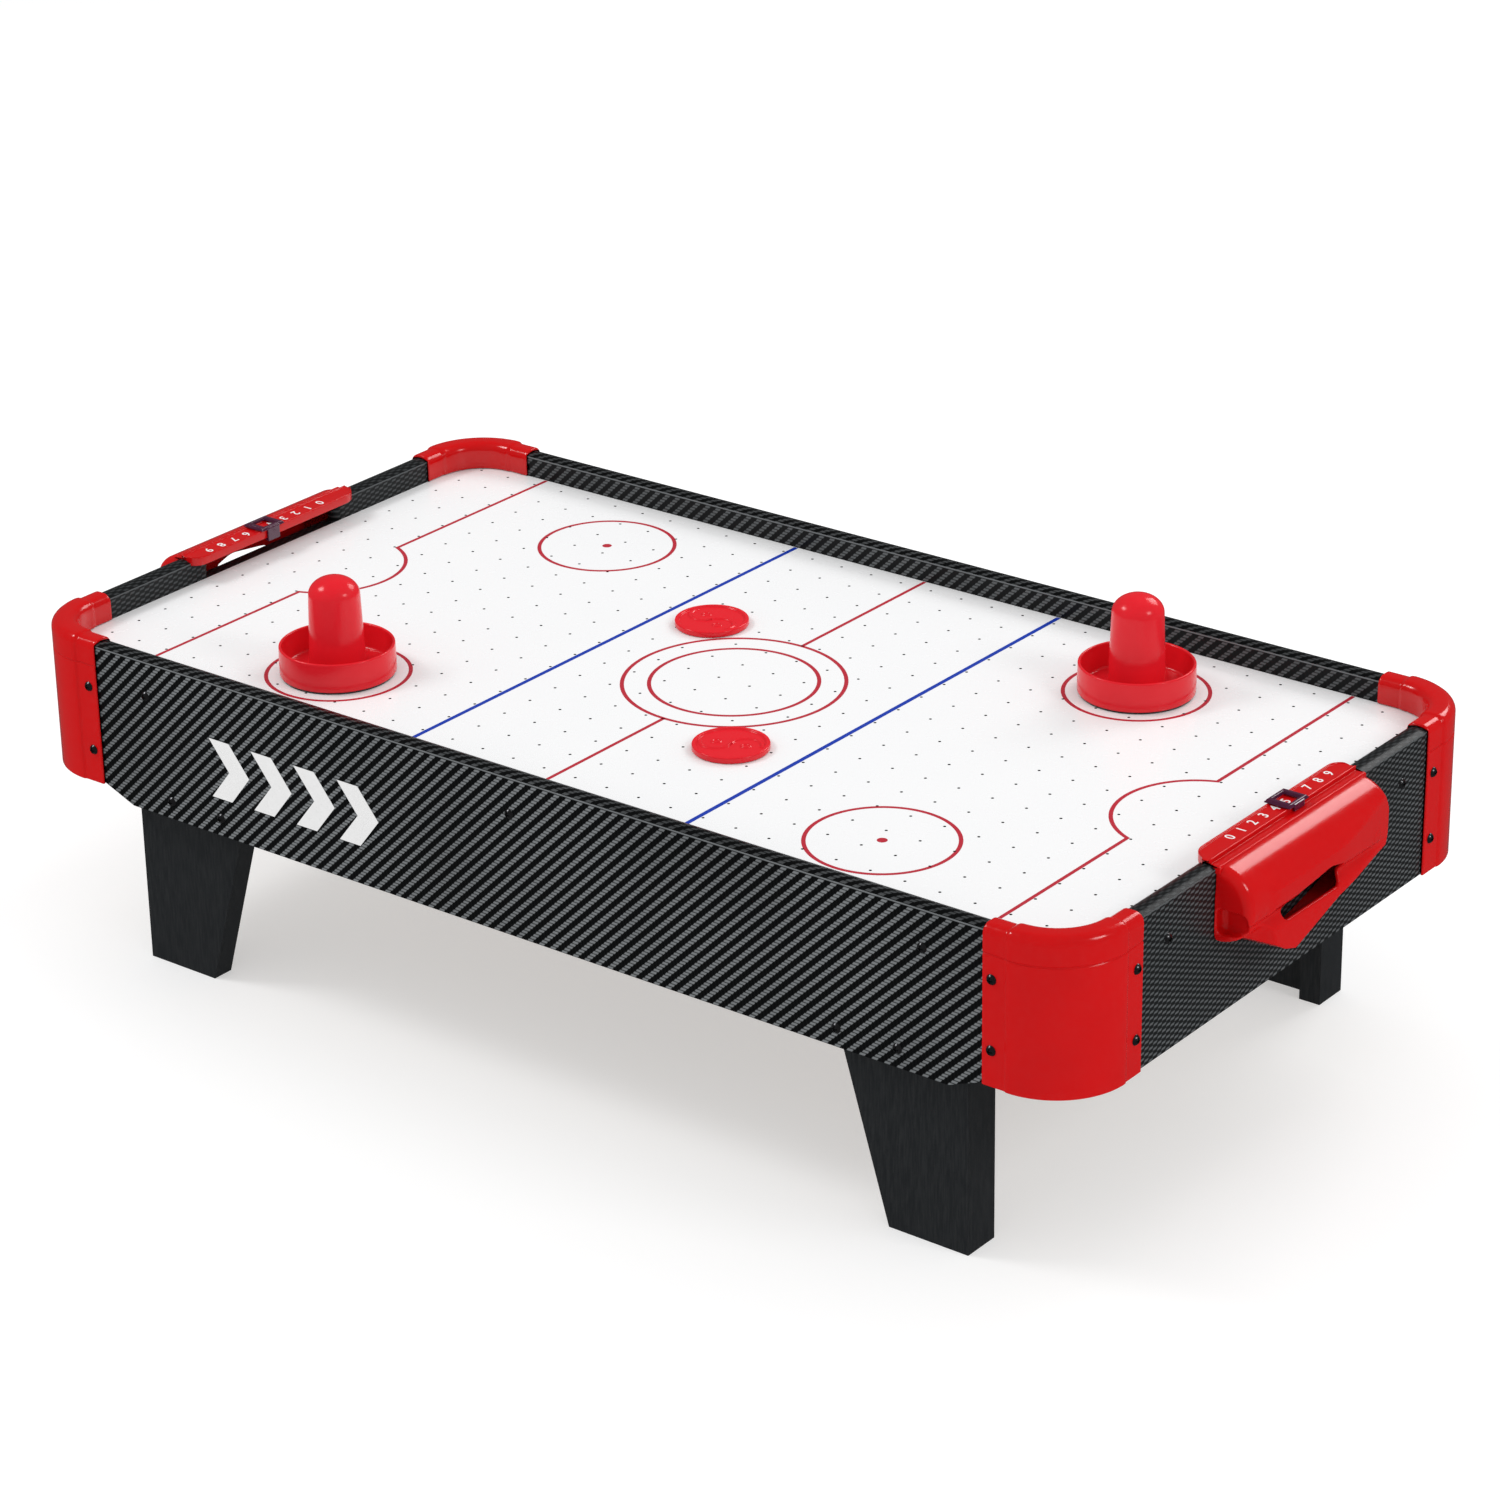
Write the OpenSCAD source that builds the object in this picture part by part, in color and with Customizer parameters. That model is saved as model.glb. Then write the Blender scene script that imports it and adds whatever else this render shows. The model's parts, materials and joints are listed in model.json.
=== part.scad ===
// Tabletop air hockey table: a board frame on four short legs, with a perforated playing surface over
// an air chamber, a blower under it, goal boxes with score sliders, two pushers and two pucks.
// +X runs along the table, +Y across it, +Z up; the origin is on the floor below the table's centre.

/* [Table] */
// Outer length of the board frame
table_l = 810; // [790:5:850]
// Outer width of the board frame
table_w = 435; // [425:5:470]
// Height of the rail top above the floor
rail_top = 220; // [205:5:260]
// Height of the two long boards
board_h = 106; // [100:1:112]
// Thickness of every board
board_t = 12; // [12:0.5:13]
// Depth of the playing surface below the rail top
rail_depth = 16; // [15:0.5:18]
// Thickness of the playing surface
field_t = 4; // [3:0.5:5]
// Height of the air chamber under the playing surface
chamber_h = 27; // [24:1:30]
// Distance between neighbouring air holes
hole_pitch = 24.3; // [22:0.1:40]
// Diameter of an air hole
hole_d = 1.4; // [1:0.1:2]

/* [Corner caps] */
// Length of a cap's flange along each board
cap_l = 62; // [58:1:66]
// How far a cap stands proud of the boards
cap_proud = 3; // [2.6:0.2:3.4]
// Radius of the outer corner of the board frame
corner_r = 45; // [42:1:48]
// Height of a cap's lower edge above the long boards' lower edge
cap_lift = 9; // [8:0.5:12]

/* [Legs] */
// Width of a leg at the long boards' lower edge
leg_top_w = 90; // [80:1:96]
// Width of a leg at the floor
leg_foot_w = 56; // [45:1:60]
// Thickness of a leg's two wings
leg_t = 15; // [14:0.5:18]
// Depth of a leg's side wing, from the board inwards
leg_depth = 26; // [24:1:32]

/* [Goals] */
// Width of the goal mouth
goal_w = 124; // [116:2:128]
// Length of a goal box along the end board
box_l = 160; // [158:1:164]
// Radius of a goal box's rounded front
box_r = 24; // [22:1:26]
// Wall thickness of a goal box
box_t = 2.5; // [2:0.1:3]
// Distance between neighbouring score numbers
score_pitch = 12; // [11:0.5:12]
// Score shown by the right slider
score_right = 5; // [0:0.5:9]
// Score shown by the left slider
score_left = 4.5; // [0:0.5:9]

/* [Pushers and pucks] */
// Diameter of a pusher's cup
pusher_d = 74; // [70:1:78]
// Height of a pusher's cup
pusher_cup_h = 19; // [16:1:24]
// Overall height of a pusher
pusher_h = 65; // [50:1:70]
// Diameter of a pusher's knob at its foot
knob_d = 36; // [28:1:38]
// Diameter of a puck
puck_d = 48; // [44:1:50]
// Thickness of a puck
puck_t = 4; // [4:0.5:5]

/* [Blower] */
// Inner diameter of the blower duct
duct_d = 90; // [84:1:94]
// Height of the blower duct
duct_h = 40; // [38:1:44]
// Number of impeller blades
blades = 7; // [5:1:9]

/* [Hidden] */

$fn = 64;
eps = 0.01;
red = "#c81018";
pusher_red = "#e03a40";
board_black = "#26282b";
leg_grey = "#2b2c30";
wood = "#c8a878";
screw_black = "#101010";

// Frame levels and planes
half_l = table_l / 2;
half_w = table_w / 2;
half_t = board_t / 2;
board_z = rail_top - board_h;
play_z = rail_top - rail_depth;
chamber_top = play_z - field_t;
chamber_z = chamber_top - chamber_h;
panel_t = 3;
panel_z = chamber_z - panel_t;
cap_z = board_z + cap_lift;
end_board_z = cap_z + 0.5;
notch_z = play_z - 2;
// Radius of the boards' crowned tops
crown_r = 12;
// Centre of each rounded corner
corner_x = half_l - corner_r;
corner_y = half_w - corner_r;
bevel_l = 24;
bevel_x = half_l - cap_l - bevel_l;
fit_gap = 0.2;
panel_gap = 0.3;

// Screws
screw_d = 3;
hole_clear = 0.1;
head_d = 6.6;
head_h = 2.2;
board_screw_x = 301;
board_screw_z = rail_top - 25.5;
end_screw_y = 128;
leg_screw_x = [241, 284];
leg_screw_z = board_z + 12;
cap_screw_in = 6.5;
cap_screw_z = [rail_top - 74, rail_top - 30];
cap_flange_proud = cap_proud - 0.8;
goal_screw_v = 66;
goal_screw_z = rail_top - 32;
board_screw_l = 21;
cap_screw_l = 11;
goal_screw_l = 20;

// Air chamber timber
cleat_t = 12;
rib_x = 150;
rib_t = 10;
panel_screw_x = [-300, -100, 100, 300];

// Blower, centred under the chamber
duct_t = 3;
duct_r = duct_d / 2;
flange_w = 9;
flange_t = 3;
duct_z = panel_z - duct_h;
motor_r = 14;
motor_h = 20;
motor_z = duct_z + 5.1;
cup_t = 2;
strut_w = 5;
shaft_d = 3;
shaft_z = motor_z + 1;
shaft_top = panel_z - 2.5;
bush_r = 3;
bush_h = 4;
bore_gap = 0.05;
hub_r = 15;
hub_h = 10;
hub_z = motor_z + motor_h + 1.5;
blower_screw_r = duct_r + duct_t + flange_w / 2;

// Power plate on the back board
plate_x = 150;
plate_z = board_z + 36;
plate_w = 62;
plate_h = 30;
plate_t = 2;
cutout_w = 46;
cutout_h = 20;
switch_x = plate_x - 11;
jack_x = plate_x + 13;
rocker_w = 12.4;
rocker_h = 7.4;
rocker_off = 8;
rocker_pin_d = 2;
jack_d = 8;
jack_bore_d = 6.2;
jack_pin_d = 2;

// Goal box, in its own frame: x is outward from the end board's face, y along it
box_z = rail_top - box_r;
ledge_in = -18.5;
ledge_out = -4;
ledge_top = rail_top + 3;
ledge_plate_z = rail_top + 0.3;
apron_z = rail_top - 3;
groove_z = rail_top - 3.7;
mouth_half = goal_w / 2;
slide_gap = 0.3;
slider_l = 22;
slider_t = 2;
score_zero = -46;
window = 12;
box_end_t = 4.5;
web_t = 2;
groove_w = 8;
scoop_u = box_r + 1.5;

// Pushers and pucks
spot_x = 212.5;
spot_y = 133.6;
lift = 0.25;
felt_t = 1;
cup_t_wall = 2.5;
puck_front_at = [61.5, -82];
puck_back_at = [-69.5, 66];

module at_corner(sx, sy) {
    mirror([sx < 0 ? 1 : 0, 0, 0]) mirror([0, sy < 0 ? 1 : 0, 0]) children();
}

// Puts a piece drawn for the right end at the end named by s: 1 is the right, -1 the left
module at_end(s) {
    rotate([0, 0, s > 0 ? 0 : 180]) children();
}

// Drill along Y through the board face at y = half_w
module drill_y(x, y, z, depth, d = screw_d + hole_clear) {
    translate([x, y + eps, z]) rotate([90, 0, 0]) cylinder(d = d, h = depth + eps);
}

// Drill along X, inwards from the plane x
module drill_x(x, y, z, depth, d = screw_d + hole_clear) {
    translate([x + eps, y, z]) rotate([0, -90, 0]) cylinder(d = d, h = depth + eps);
}

// Pan head screw whose head stands on the plane z = 0, pointing down
module screw(length) {
    ball_r = (head_d * head_d / 4 + head_h * head_h) / (2 * head_h);
    slot = [head_d * 0.55, 0.9, 1];
    translate([0, 0, -length]) cylinder(d = screw_d, h = length + eps);
    difference() {
        intersection() {
            translate([0, 0, head_h - ball_r]) sphere(r = ball_r);
            cylinder(d = head_d, h = head_h);
        }
        for (turn = [0, 90]) {
            translate([0, 0, head_h]) rotate([0, 0, turn])
                cube([slot[0], slot[1], 2 * slot[2]], center = true);
        }
    }
}

// Screw from the outside of a long board, at the back when s is 1
module screw_y(s, x, y, z, length) {
    translate([x, s * y, z]) rotate([-s * 90, 0, 0]) screw(length);
}

// Screw from the outside of an end board, at the right when s is 1
module screw_x(s, x, y, z, length) {
    translate([s * x, y, z]) rotate([0, s * 90, 0]) screw(length);
}

// Section of a board with its crowned top; its lower edge is at height low
module rail_section(width, low, top = rail_top) {
    intersection() {
        translate([-width / 2, low]) square([width, top - low]);
        union() {
            translate([0, top - crown_r]) circle(r = crown_r);
            translate([-width / 2, low]) square([width, top - crown_r - low]);
        }
    }
}

// Plan of the space inside the boards, with its rounded corners
module inside_plan(gap) {
    r = corner_r - board_t - gap;
    square([2 * corner_x, 2 * (corner_y + r)], center = true);
    square([2 * (corner_x + r), 2 * corner_y], center = true);
    for (sx = [-1, 1], sy = [-1, 1]) {
        translate([sx * corner_x, sy * corner_y]) circle(r = r);
    }
}

// Playing surface with its square grid of air holes, which keeps clear of the rounded corners
module playfield() {
    nx = ceil(half_l / hole_pitch);
    ny = ceil(half_w / hole_pitch);
    hole_margin = 5;
    reach = corner_r - board_t - hole_margin;
    color("#f4f5f7") translate([0, 0, chamber_top]) linear_extrude(field_t) difference() {
        inside_plan(panel_gap);
        for (i = [-nx:nx - 1], j = [-ny:ny]) {
            at = [(i + 0.5) * hole_pitch, j * hole_pitch];
            over = [max(abs(at[0]) - corner_x, 0), max(abs(at[1]) - corner_y, 0)];
            if (norm(over) < reach) {
                translate(at) circle(d = hole_d, $fn = 24);
            }
        }
    }
}

module bottom_panel() {
    color("#8a6f4d") translate([0, 0, panel_z]) linear_extrude(panel_t) difference() {
        inside_plan(panel_gap);
        circle(d = duct_d - 4);
        for (x = panel_screw_x, s = [-1, 1]) {
            translate([x, s * (half_w - board_t - cleat_t / 2)]) circle(d = screw_d + hole_clear);
        }
        for (a = [45:90:315]) {
            rotate(a) translate([blower_screw_r, 0]) circle(d = screw_d + hole_clear);
        }
    }
}

module long_board(s) {
    color(board_black) difference() {
        intersection() {
            translate([0, s * (half_w - half_t), 0]) rotate([90, 0, 90])
                linear_extrude(2 * corner_x, center = true) rail_section(board_t, board_z);
            rotate([90, 0, 0]) linear_extrude(table_w + 20, center = true) polygon([
                [-corner_x, cap_z + 1], [-half_l + cap_l, cap_z + 0.5], [-bevel_x, board_z],
                [bevel_x, board_z], [half_l - cap_l, cap_z + 0.5], [corner_x, cap_z + 1],
                [corner_x, rail_top + 1], [-corner_x, rail_top + 1]
            ]);
        }
        mirror([0, s < 0 ? 1 : 0, 0]) {
            for (x = [-board_screw_x, 0, board_screw_x]) {
                drill_y(x, half_w, board_screw_z, board_t + 1);
            }
            for (x = leg_screw_x, sx = [-1, 1]) {
                drill_y(sx * x, half_w, leg_screw_z, board_t + 1);
            }
            for (z = cap_screw_z, sx = [-1, 1]) {
                drill_y(sx * (half_l - cap_l + cap_screw_in), half_w, z, cap_screw_l);
            }
        }
        if (s > 0) {
            translate([plate_x - cutout_w / 2, half_w - board_t - 1, plate_z - cutout_h / 2])
                cube([cutout_w, board_t + 2, cutout_h]);
            for (sx = [-1, 1]) {
                drill_y(plate_x + sx * (plate_w / 2 - 4), half_w, plate_z, 9);
            }
        }
    }
}

module end_board(s) {
    post_y = mouth_half + half_t;
    color(board_black) at_end(s) difference() {
        translate([half_l - half_t, 0, 0]) intersection() {
            rotate([90, 0, 0]) linear_extrude(2 * corner_y, center = true)
                rail_section(board_t, end_board_z);
            union() {
                translate([-half_t, -corner_y, 0]) cube([board_t, 2 * corner_y, notch_z]);
                for (side = [-1, 1]) {
                    translate([0, side * post_y, 0]) cylinder(d = board_t, h = rail_top + 1);
                    translate([-half_t, min(side * post_y, side * corner_y), 0])
                        cube([board_t, corner_y - post_y, rail_top + 1]);
                }
            }
        }
        for (side = [-1, 1]) {
            drill_x(half_l, side * end_screw_y, board_screw_z, board_t + 1);
            drill_x(half_l, side * goal_screw_v, goal_screw_z, board_t + 1);
            for (z = cap_screw_z) {
                drill_x(half_l, side * (half_w - cap_l + cap_screw_in), z, cap_screw_l);
            }
        }
    }
}

// Section of a corner cap: x is the distance outwards from the board's middle plane, y the height
module cap_section(proud) {
    outer = half_t + proud;
    round_r = 6;
    top = rail_top + proud;
    skirt = play_z + 0.4;
    seam_z = rail_top - 15;
    difference() {
        union() {
            for (side = [-1, 1]) {
                translate([side * (outer - round_r), top - round_r]) circle(r = round_r);
            }
            translate([-outer + round_r, top - 2 * round_r]) square([2 * (outer - round_r), 2 * round_r]);
            translate([0, cap_z]) square([outer, top - round_r - cap_z]);
            translate([-outer, skirt]) square([outer, top - round_r - skirt]);
        }
        rail_section(board_t + 2 * fit_gap, cap_z - 1, rail_top + fit_gap);
        translate([outer - 0.4, seam_z]) square([1, 0.8]);
    }
}

module corner_cap(sx, sy) {
    mid_r = corner_r - half_t;
    rib_in = 15;
    flange_x = half_l - cap_l;
    flange_y = half_w - cap_l;
    color(red) at_corner(sx, sy) difference() {
        union() {
            translate([corner_x, corner_y, 0]) rotate_extrude(angle = 90)
                translate([mid_r, 0]) cap_section(cap_proud);
            translate([corner_x, half_w - half_t, 0]) rotate([90, 0, -90])
                linear_extrude(corner_x - flange_x - rib_in) mirror([1, 0]) cap_section(cap_proud);
            translate([flange_x + rib_in, half_w - half_t, 0]) rotate([90, 0, -90])
                linear_extrude(rib_in) mirror([1, 0]) cap_section(cap_flange_proud);
            translate([half_l - half_t, corner_y, 0]) rotate([90, 0, 0])
                linear_extrude(corner_y - flange_y - rib_in) cap_section(cap_proud);
            translate([half_l - half_t, flange_y + rib_in, 0]) rotate([90, 0, 0])
                linear_extrude(rib_in) cap_section(cap_flange_proud);
        }
        for (z = cap_screw_z) {
            drill_y(flange_x + cap_screw_in, half_w + cap_proud, z, cap_proud + 1);
            drill_x(half_l + cap_proud, flange_y + cap_screw_in, z, cap_proud + 1);
        }
    }
}

module corner_blocks() {
    color(wood) for (sx = [-1, 1], sy = [-1, 1]) {
        at_corner(sx, sy) translate([corner_x, corner_y, 0]) rotate_extrude(angle = 90)
            translate([corner_r - half_t, 0]) rail_section(board_t - 0.4, end_board_z, rail_top - fit_gap);
    }
}

module side_cleats() {
    cleat_l = 2 * corner_x - 4;
    color(wood) for (s = [-1, 1]) {
        mirror([0, s < 0 ? 1 : 0, 0]) difference() {
            translate([-cleat_l / 2, half_w - board_t - cleat_t, chamber_z])
                cube([cleat_l, cleat_t, chamber_h]);
            for (x = [-board_screw_x, 0, board_screw_x]) {
                drill_y(x, half_w - board_t, board_screw_z, board_screw_l - board_t + 0.5);
            }
            for (x = panel_screw_x) {
                translate([x, half_w - board_t - cleat_t / 2, chamber_z - eps])
                    cylinder(d = screw_d + hole_clear, h = 10);
            }
        }
    }
}

module end_cleats() {
    cleat_l = 2 * corner_y - 4;
    color(wood) for (s = [-1, 1]) {
        at_end(s) difference() {
            translate([half_l - board_t - cleat_t, -cleat_l / 2, chamber_z])
                cube([cleat_t, cleat_l, chamber_h]);
            for (side = [-1, 1]) {
                drill_x(half_l - board_t, side * end_screw_y, board_screw_z, board_screw_l - board_t + 0.5);
                drill_x(half_l - board_t, side * goal_screw_v, goal_screw_z, cleat_t + 1, 9);
            }
        }
    }
}

module cross_ribs() {
    rib_l = 2 * (half_w - board_t - cleat_t) - 0.4;
    slot_l = 70;
    slot_h = 14;
    color(wood) for (s = [-1, 1]) {
        difference() {
            translate([s * rib_x - rib_t / 2, -rib_l / 2, chamber_z]) cube([rib_t, rib_l, chamber_h]);
            for (y = [-120, 0, 120]) {
                translate([s * rib_x - rib_t, y - slot_l / 2, chamber_z + 6])
                    cube([2 * rib_t, slot_l, slot_h]);
            }
        }
    }
}

// Leg with a wide wing behind the long board and a return wing at its outer edge
module leg(sx, sy) {
    outer_x = 325;
    top_z = panel_z - 2;
    face_y = half_w - board_t;
    slope = (leg_top_w - leg_foot_w) / board_z;
    top_w = leg_foot_w + slope * top_z;
    color(leg_grey) at_corner(sx, sy) difference() {
        union() {
            translate([0, face_y, 0]) rotate([90, 0, 0]) linear_extrude(leg_t) polygon([
                [outer_x - leg_foot_w, 0], [outer_x, 0], [outer_x, top_z], [outer_x - top_w, top_z]
            ]);
            translate([outer_x - leg_t, face_y - leg_depth, 0]) cube([leg_t, leg_depth, top_z]);
        }
        for (x = leg_screw_x) {
            drill_y(x, face_y, leg_screw_z, board_screw_l - board_t + 1);
        }
    }
}

// Half of a rounded drum that lies along the end board, grown or shrunk by its radius and half length
module drum(r, half, edge) {
    intersection() {
        rotate([90, 0, 0]) rotate_extrude() {
            translate([0, -half + edge]) square([r, 2 * (half - edge)]);
            translate([0, -half]) square([r - edge, 2 * half]);
            for (end = [-1, 1]) {
                translate([r - edge, end * (half - edge)]) circle(r = edge);
            }
        }
        translate([0, -half - 1, -r - 1]) cube([r + 2, 2 * half + 2, 2 * r + 2]);
    }
}

// Chute outlines, seen along the table: x runs along the end board, y is the height above the drum's axis
chute_back = [[-74, 0], [-76, -18], [-48, -33], [-18, -42], [10, -36], [66, -18], [70, 0]];
chute_front = [[-52, 0], [-50, -31], [-31, -39], [18, -25], [21, -19], [32, 0]];
chute_mid = [-12, -12];
pickup_hole = [[-44, -17], [14, -17], [21, -14], [24, -6], [20, 1], [6, 3], [-12, 0], [-28, -6]];

// One end of the chute, shrunk towards its middle to leave the given wall
module chute_slice(outline, u, wall, reach) {
    skin = 0.1;
    k = 1 - wall / reach;
    translate([u, 0, box_z]) rotate([90, 0, 90]) linear_extrude(skin)
        polygon([for (p = outline) chute_mid + k * (p - chute_mid)]);
}

// Return chute under the drum: it narrows from the board's face to a lip at its front
module chute(wall) {
    hull() {
        chute_slice(chute_back, 0, wall, 34);
        chute_slice(chute_front, scoop_u - wall - 0.1, wall, 22);
    }
}

module goal_box(s) {
    half = box_l / 2;
    edge_r = 7;
    boss_d = 8;
    pocket = [14, 4, 15];
    color(red) at_end(s) translate([half_l, 0, 0]) difference() {
        union() {
            difference() {
                union() {
                    translate([0, 0, box_z]) drum(box_r, half, edge_r);
                    chute(0);
                }
                difference() {
                    union() {
                        translate([-eps, 0, box_z]) drum(box_r - box_t, half - box_end_t, edge_r - 2);
                        translate([-eps, 0, 0]) chute(box_t);
                    }
                    for (side = [-1, 1]) {
                        translate([0, side * goal_screw_v, goal_screw_z]) rotate([0, 90, 0])
                            cylinder(d = boss_d, h = box_r);
                    }
                }
            }
            // Score ledge with its inner apron
            translate([ledge_in, -half, ledge_plate_z])
                cube([ledge_out - ledge_in, box_l, ledge_top - ledge_plate_z]);
            translate([ledge_in, -half, apron_z]) cube([box_t, box_l, ledge_top - apron_z]);
            // Web and groove floor that tie the ledge to the drum across the mouth
            translate([ledge_out - web_t, -mouth_half + 1, groove_z])
                cube([web_t, goal_w - 2, ledge_top - groove_z]);
            translate([ledge_out - web_t, -mouth_half + 1, groove_z]) cube([groove_w, goal_w - 2, web_t]);
        }
        translate([-1, 0, box_z]) rotate([90, 0, 90]) linear_extrude(box_r + 4) polygon(pickup_hole);
        // Pocket in the near end wall
        translate([4, -half - 1, box_z - pocket[2] - 1]) cube(pocket);
        for (side = [-1, 1]) {
            translate([-eps, side * goal_screw_v, goal_screw_z]) rotate([0, 90, 0])
                cylinder(d = screw_d + hole_clear, h = goal_screw_l - board_t + 1);
        }
    }
}

module score_slider(s, score) {
    at_v = score_zero + score * score_pitch;
    frame_z = ledge_top + slide_gap;
    inner = ledge_in - slide_gap;
    outer = ledge_out + slide_gap;
    leg_w = 1.6;
    hook = 1.2;
    color("#3a1430") at_end(s) translate([half_l, at_v, 0]) {
        difference() {
            translate([inner - leg_w, -slider_l / 2, frame_z])
                cube([outer - inner + 2 * leg_w, slider_l, slider_t]);
            translate([(inner + outer - window) / 2, -window / 2, frame_z - 1])
                cube([window, window, slider_t + 2]);
        }
        // Inner leg with its retaining hook under the apron
        translate([inner - leg_w, -slider_l / 4, apron_z - slide_gap - leg_w])
            cube([leg_w, slider_l / 2, frame_z - apron_z + slide_gap + leg_w + eps]);
        translate([inner - eps, -slider_l / 4, apron_z - slide_gap - leg_w])
            cube([hook, slider_l / 2, leg_w]);
        // Outer leg that runs in the groove
        translate([outer, -slider_l / 4, rail_top + slide_gap])
            cube([leg_w, slider_l / 2, slide_gap + ledge_top - rail_top]);
    }
}

module pusher(s) {
    r = pusher_d / 2;
    foot = play_z + lift + felt_t;
    knob_r = knob_d / 2;
    tip_r = knob_r - 2;
    dome = 12;
    top = pusher_h - felt_t;
    straight = top - dome;
    t = cup_t_wall;
    color(pusher_red) translate([s * spot_x, s * spot_y, foot]) difference() {
        union() {
            cylinder(r = r, h = pusher_cup_h);
            cylinder(r1 = knob_r, r2 = tip_r, h = straight);
            translate([0, 0, straight - eps]) rotate_extrude() intersection() {
                union() {
                    square([tip_r - dome + eps, dome]);
                    translate([tip_r - dome, 0]) circle(r = dome);
                }
                square([tip_r, dome]);
            }
        }
        // Well between the cup's wall and the knob
        translate([0, 0, t]) difference() {
            cylinder(r = r - t, h = pusher_h);
            translate([0, 0, -1])
                cylinder(r1 = knob_r + (knob_r - tip_r) / straight, r2 = tip_r, h = straight + 1 - t);
            translate([0, 0, straight - t - 1]) cylinder(r = tip_r, h = dome + 2);
        }
        // Hollow inside the knob
        translate([0, 0, -1]) cylinder(r1 = knob_r - t, r2 = tip_r - t, h = straight - 1);
    }
}

module pusher_felt(s) {
    color("#20242a") translate([s * spot_x, s * spot_y, play_z + lift])
        linear_extrude(felt_t) difference() {
            circle(r = pusher_d / 2 - 1);
            circle(r = knob_d / 2 + 3);
        }
}

module puck(at) {
    r = puck_d / 2;
    rim = 3;
    dish = 0.7;
    color(pusher_red) translate([at[0], at[1], play_z + lift]) difference() {
        rotate_extrude() {
            square([r - 1, puck_t]);
            translate([0, 1]) square([r, puck_t - 2]);
            translate([r - 1, 1]) circle(r = 1);
            translate([r - 1, puck_t - 1]) circle(r = 1);
        }
        translate([0, 0, puck_t - dish]) cylinder(r = r - rim, h = 2);
        translate([0, 0, dish - 2]) cylinder(r = r - rim, h = 2);
    }
}

module blower_housing() {
    outer_r = duct_r + duct_t;
    color("#1b1c1e") difference() {
        union() {
            translate([0, 0, duct_z]) difference() {
                cylinder(r = outer_r, h = duct_h);
                translate([0, 0, -1]) cylinder(r = duct_r, h = duct_h + 2);
            }
            translate([0, 0, panel_z - flange_t]) difference() {
                cylinder(r = outer_r + flange_w, h = flange_t);
                translate([0, 0, -1]) cylinder(r = duct_r, h = flange_t + 2);
            }
            translate([0, 0, duct_z + 3]) {
                cylinder(r = motor_r + cup_t + 0.1, h = motor_h - 4);
                for (a = [0:90:270]) {
                    rotate(a) translate([motor_r, -strut_w / 2, 0])
                        cube([duct_r - motor_r + 1, strut_w, 6]);
                }
            }
        }
        translate([0, 0, motor_z - 0.1]) cylinder(r = motor_r + 0.1, h = motor_h);
        translate([0, 0, duct_z]) cylinder(d = 10, h = 10);
        for (a = [45:90:315]) {
            rotate(a) translate([blower_screw_r, 0, panel_z - flange_t - 1])
                cylinder(d = screw_d + hole_clear, h = flange_t + 2);
        }
        // Lead entry through the duct and the motor cup
        translate([0, 0, motor_z + 7]) rotate([0, 90, 45]) cylinder(d = 4.4, h = outer_r + 2);
    }
}

module blower_grille() {
    ring_w = 2.4;
    grille_t = 2.4;
    color("#151617") translate([0, 0, duct_z - grille_t]) linear_extrude(grille_t) {
        for (r = [10:9:duct_r]) {
            difference() {
                circle(r = r + ring_w / 2);
                circle(r = r - ring_w / 2);
            }
        }
        difference() {
            circle(r = duct_r + duct_t);
            circle(r = duct_r - 1);
        }
        for (a = [0:60:300]) {
            rotate(a) translate([10, -ring_w / 2]) square([duct_r - 10, ring_w]);
        }
    }
}

module blower_motor() {
    bore = shaft_d / 2 + 0.6;
    color("#b8babd") translate([0, 0, motor_z]) difference() {
        cylinder(r = motor_r, h = motor_h);
        translate([0, 0, -1]) cylinder(r = bore, h = motor_h + 2);
        translate([0, 0, -1]) cylinder(r = bush_r, h = bush_h + 1);
        translate([0, 0, motor_h - bush_h]) cylinder(r = bush_r, h = bush_h + 1);
    }
}

module motor_bushes() {
    color("#b08d57") for (z = [motor_z, motor_z + motor_h - bush_h]) {
        translate([0, 0, z]) difference() {
            cylinder(r = bush_r - 0.02, h = bush_h);
            translate([0, 0, -1]) cylinder(d = shaft_d + 2 * bore_gap, h = bush_h + 2);
        }
    }
}

module motor_shaft() {
    color("#c8cacc") translate([0, 0, shaft_z]) cylinder(d = shaft_d, h = shaft_top - shaft_z);
}

module impeller() {
    blade_w = duct_r - hub_r - 0.5;
    pitch = 35;
    chord = 14;
    blade_t = 1.5;
    color("#0f3d5c") translate([0, 0, hub_z]) difference() {
        union() {
            cylinder(r = hub_r, h = hub_h);
            for (i = [0:blades - 1]) {
                rotate(i * 360 / blades) translate([hub_r - 2, 0, hub_h / 2]) rotate([pitch, 0, 0])
                    translate([0, -chord / 2, -blade_t / 2]) cube([blade_w, chord, blade_t]);
            }
        }
        translate([0, 0, -1]) cylinder(d = shaft_d + 0.04, h = hub_h + 2);
        translate([0, 0, -1]) difference() {
            cylinder(r = hub_r - 1.8, h = hub_h - 1);
            cylinder(r = shaft_d / 2 + 2, h = hub_h);
        }
    }
}

module power_plate() {
    color("#16171a") difference() {
        translate([plate_x - plate_w / 2, half_w, plate_z - plate_h / 2]) cube([plate_w, plate_t, plate_h]);
        translate([switch_x - 9, half_w - 1, plate_z - 6]) cube([18, plate_t + 2, 12]);
        drill_y(jack_x, half_w + plate_t + 1, plate_z, plate_t + 2, jack_d + 0.1);
        for (sx = [-1, 1]) {
            drill_y(plate_x + sx * (plate_w / 2 - 4), half_w + plate_t, plate_z, plate_t + 1);
        }
    }
}

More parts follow.
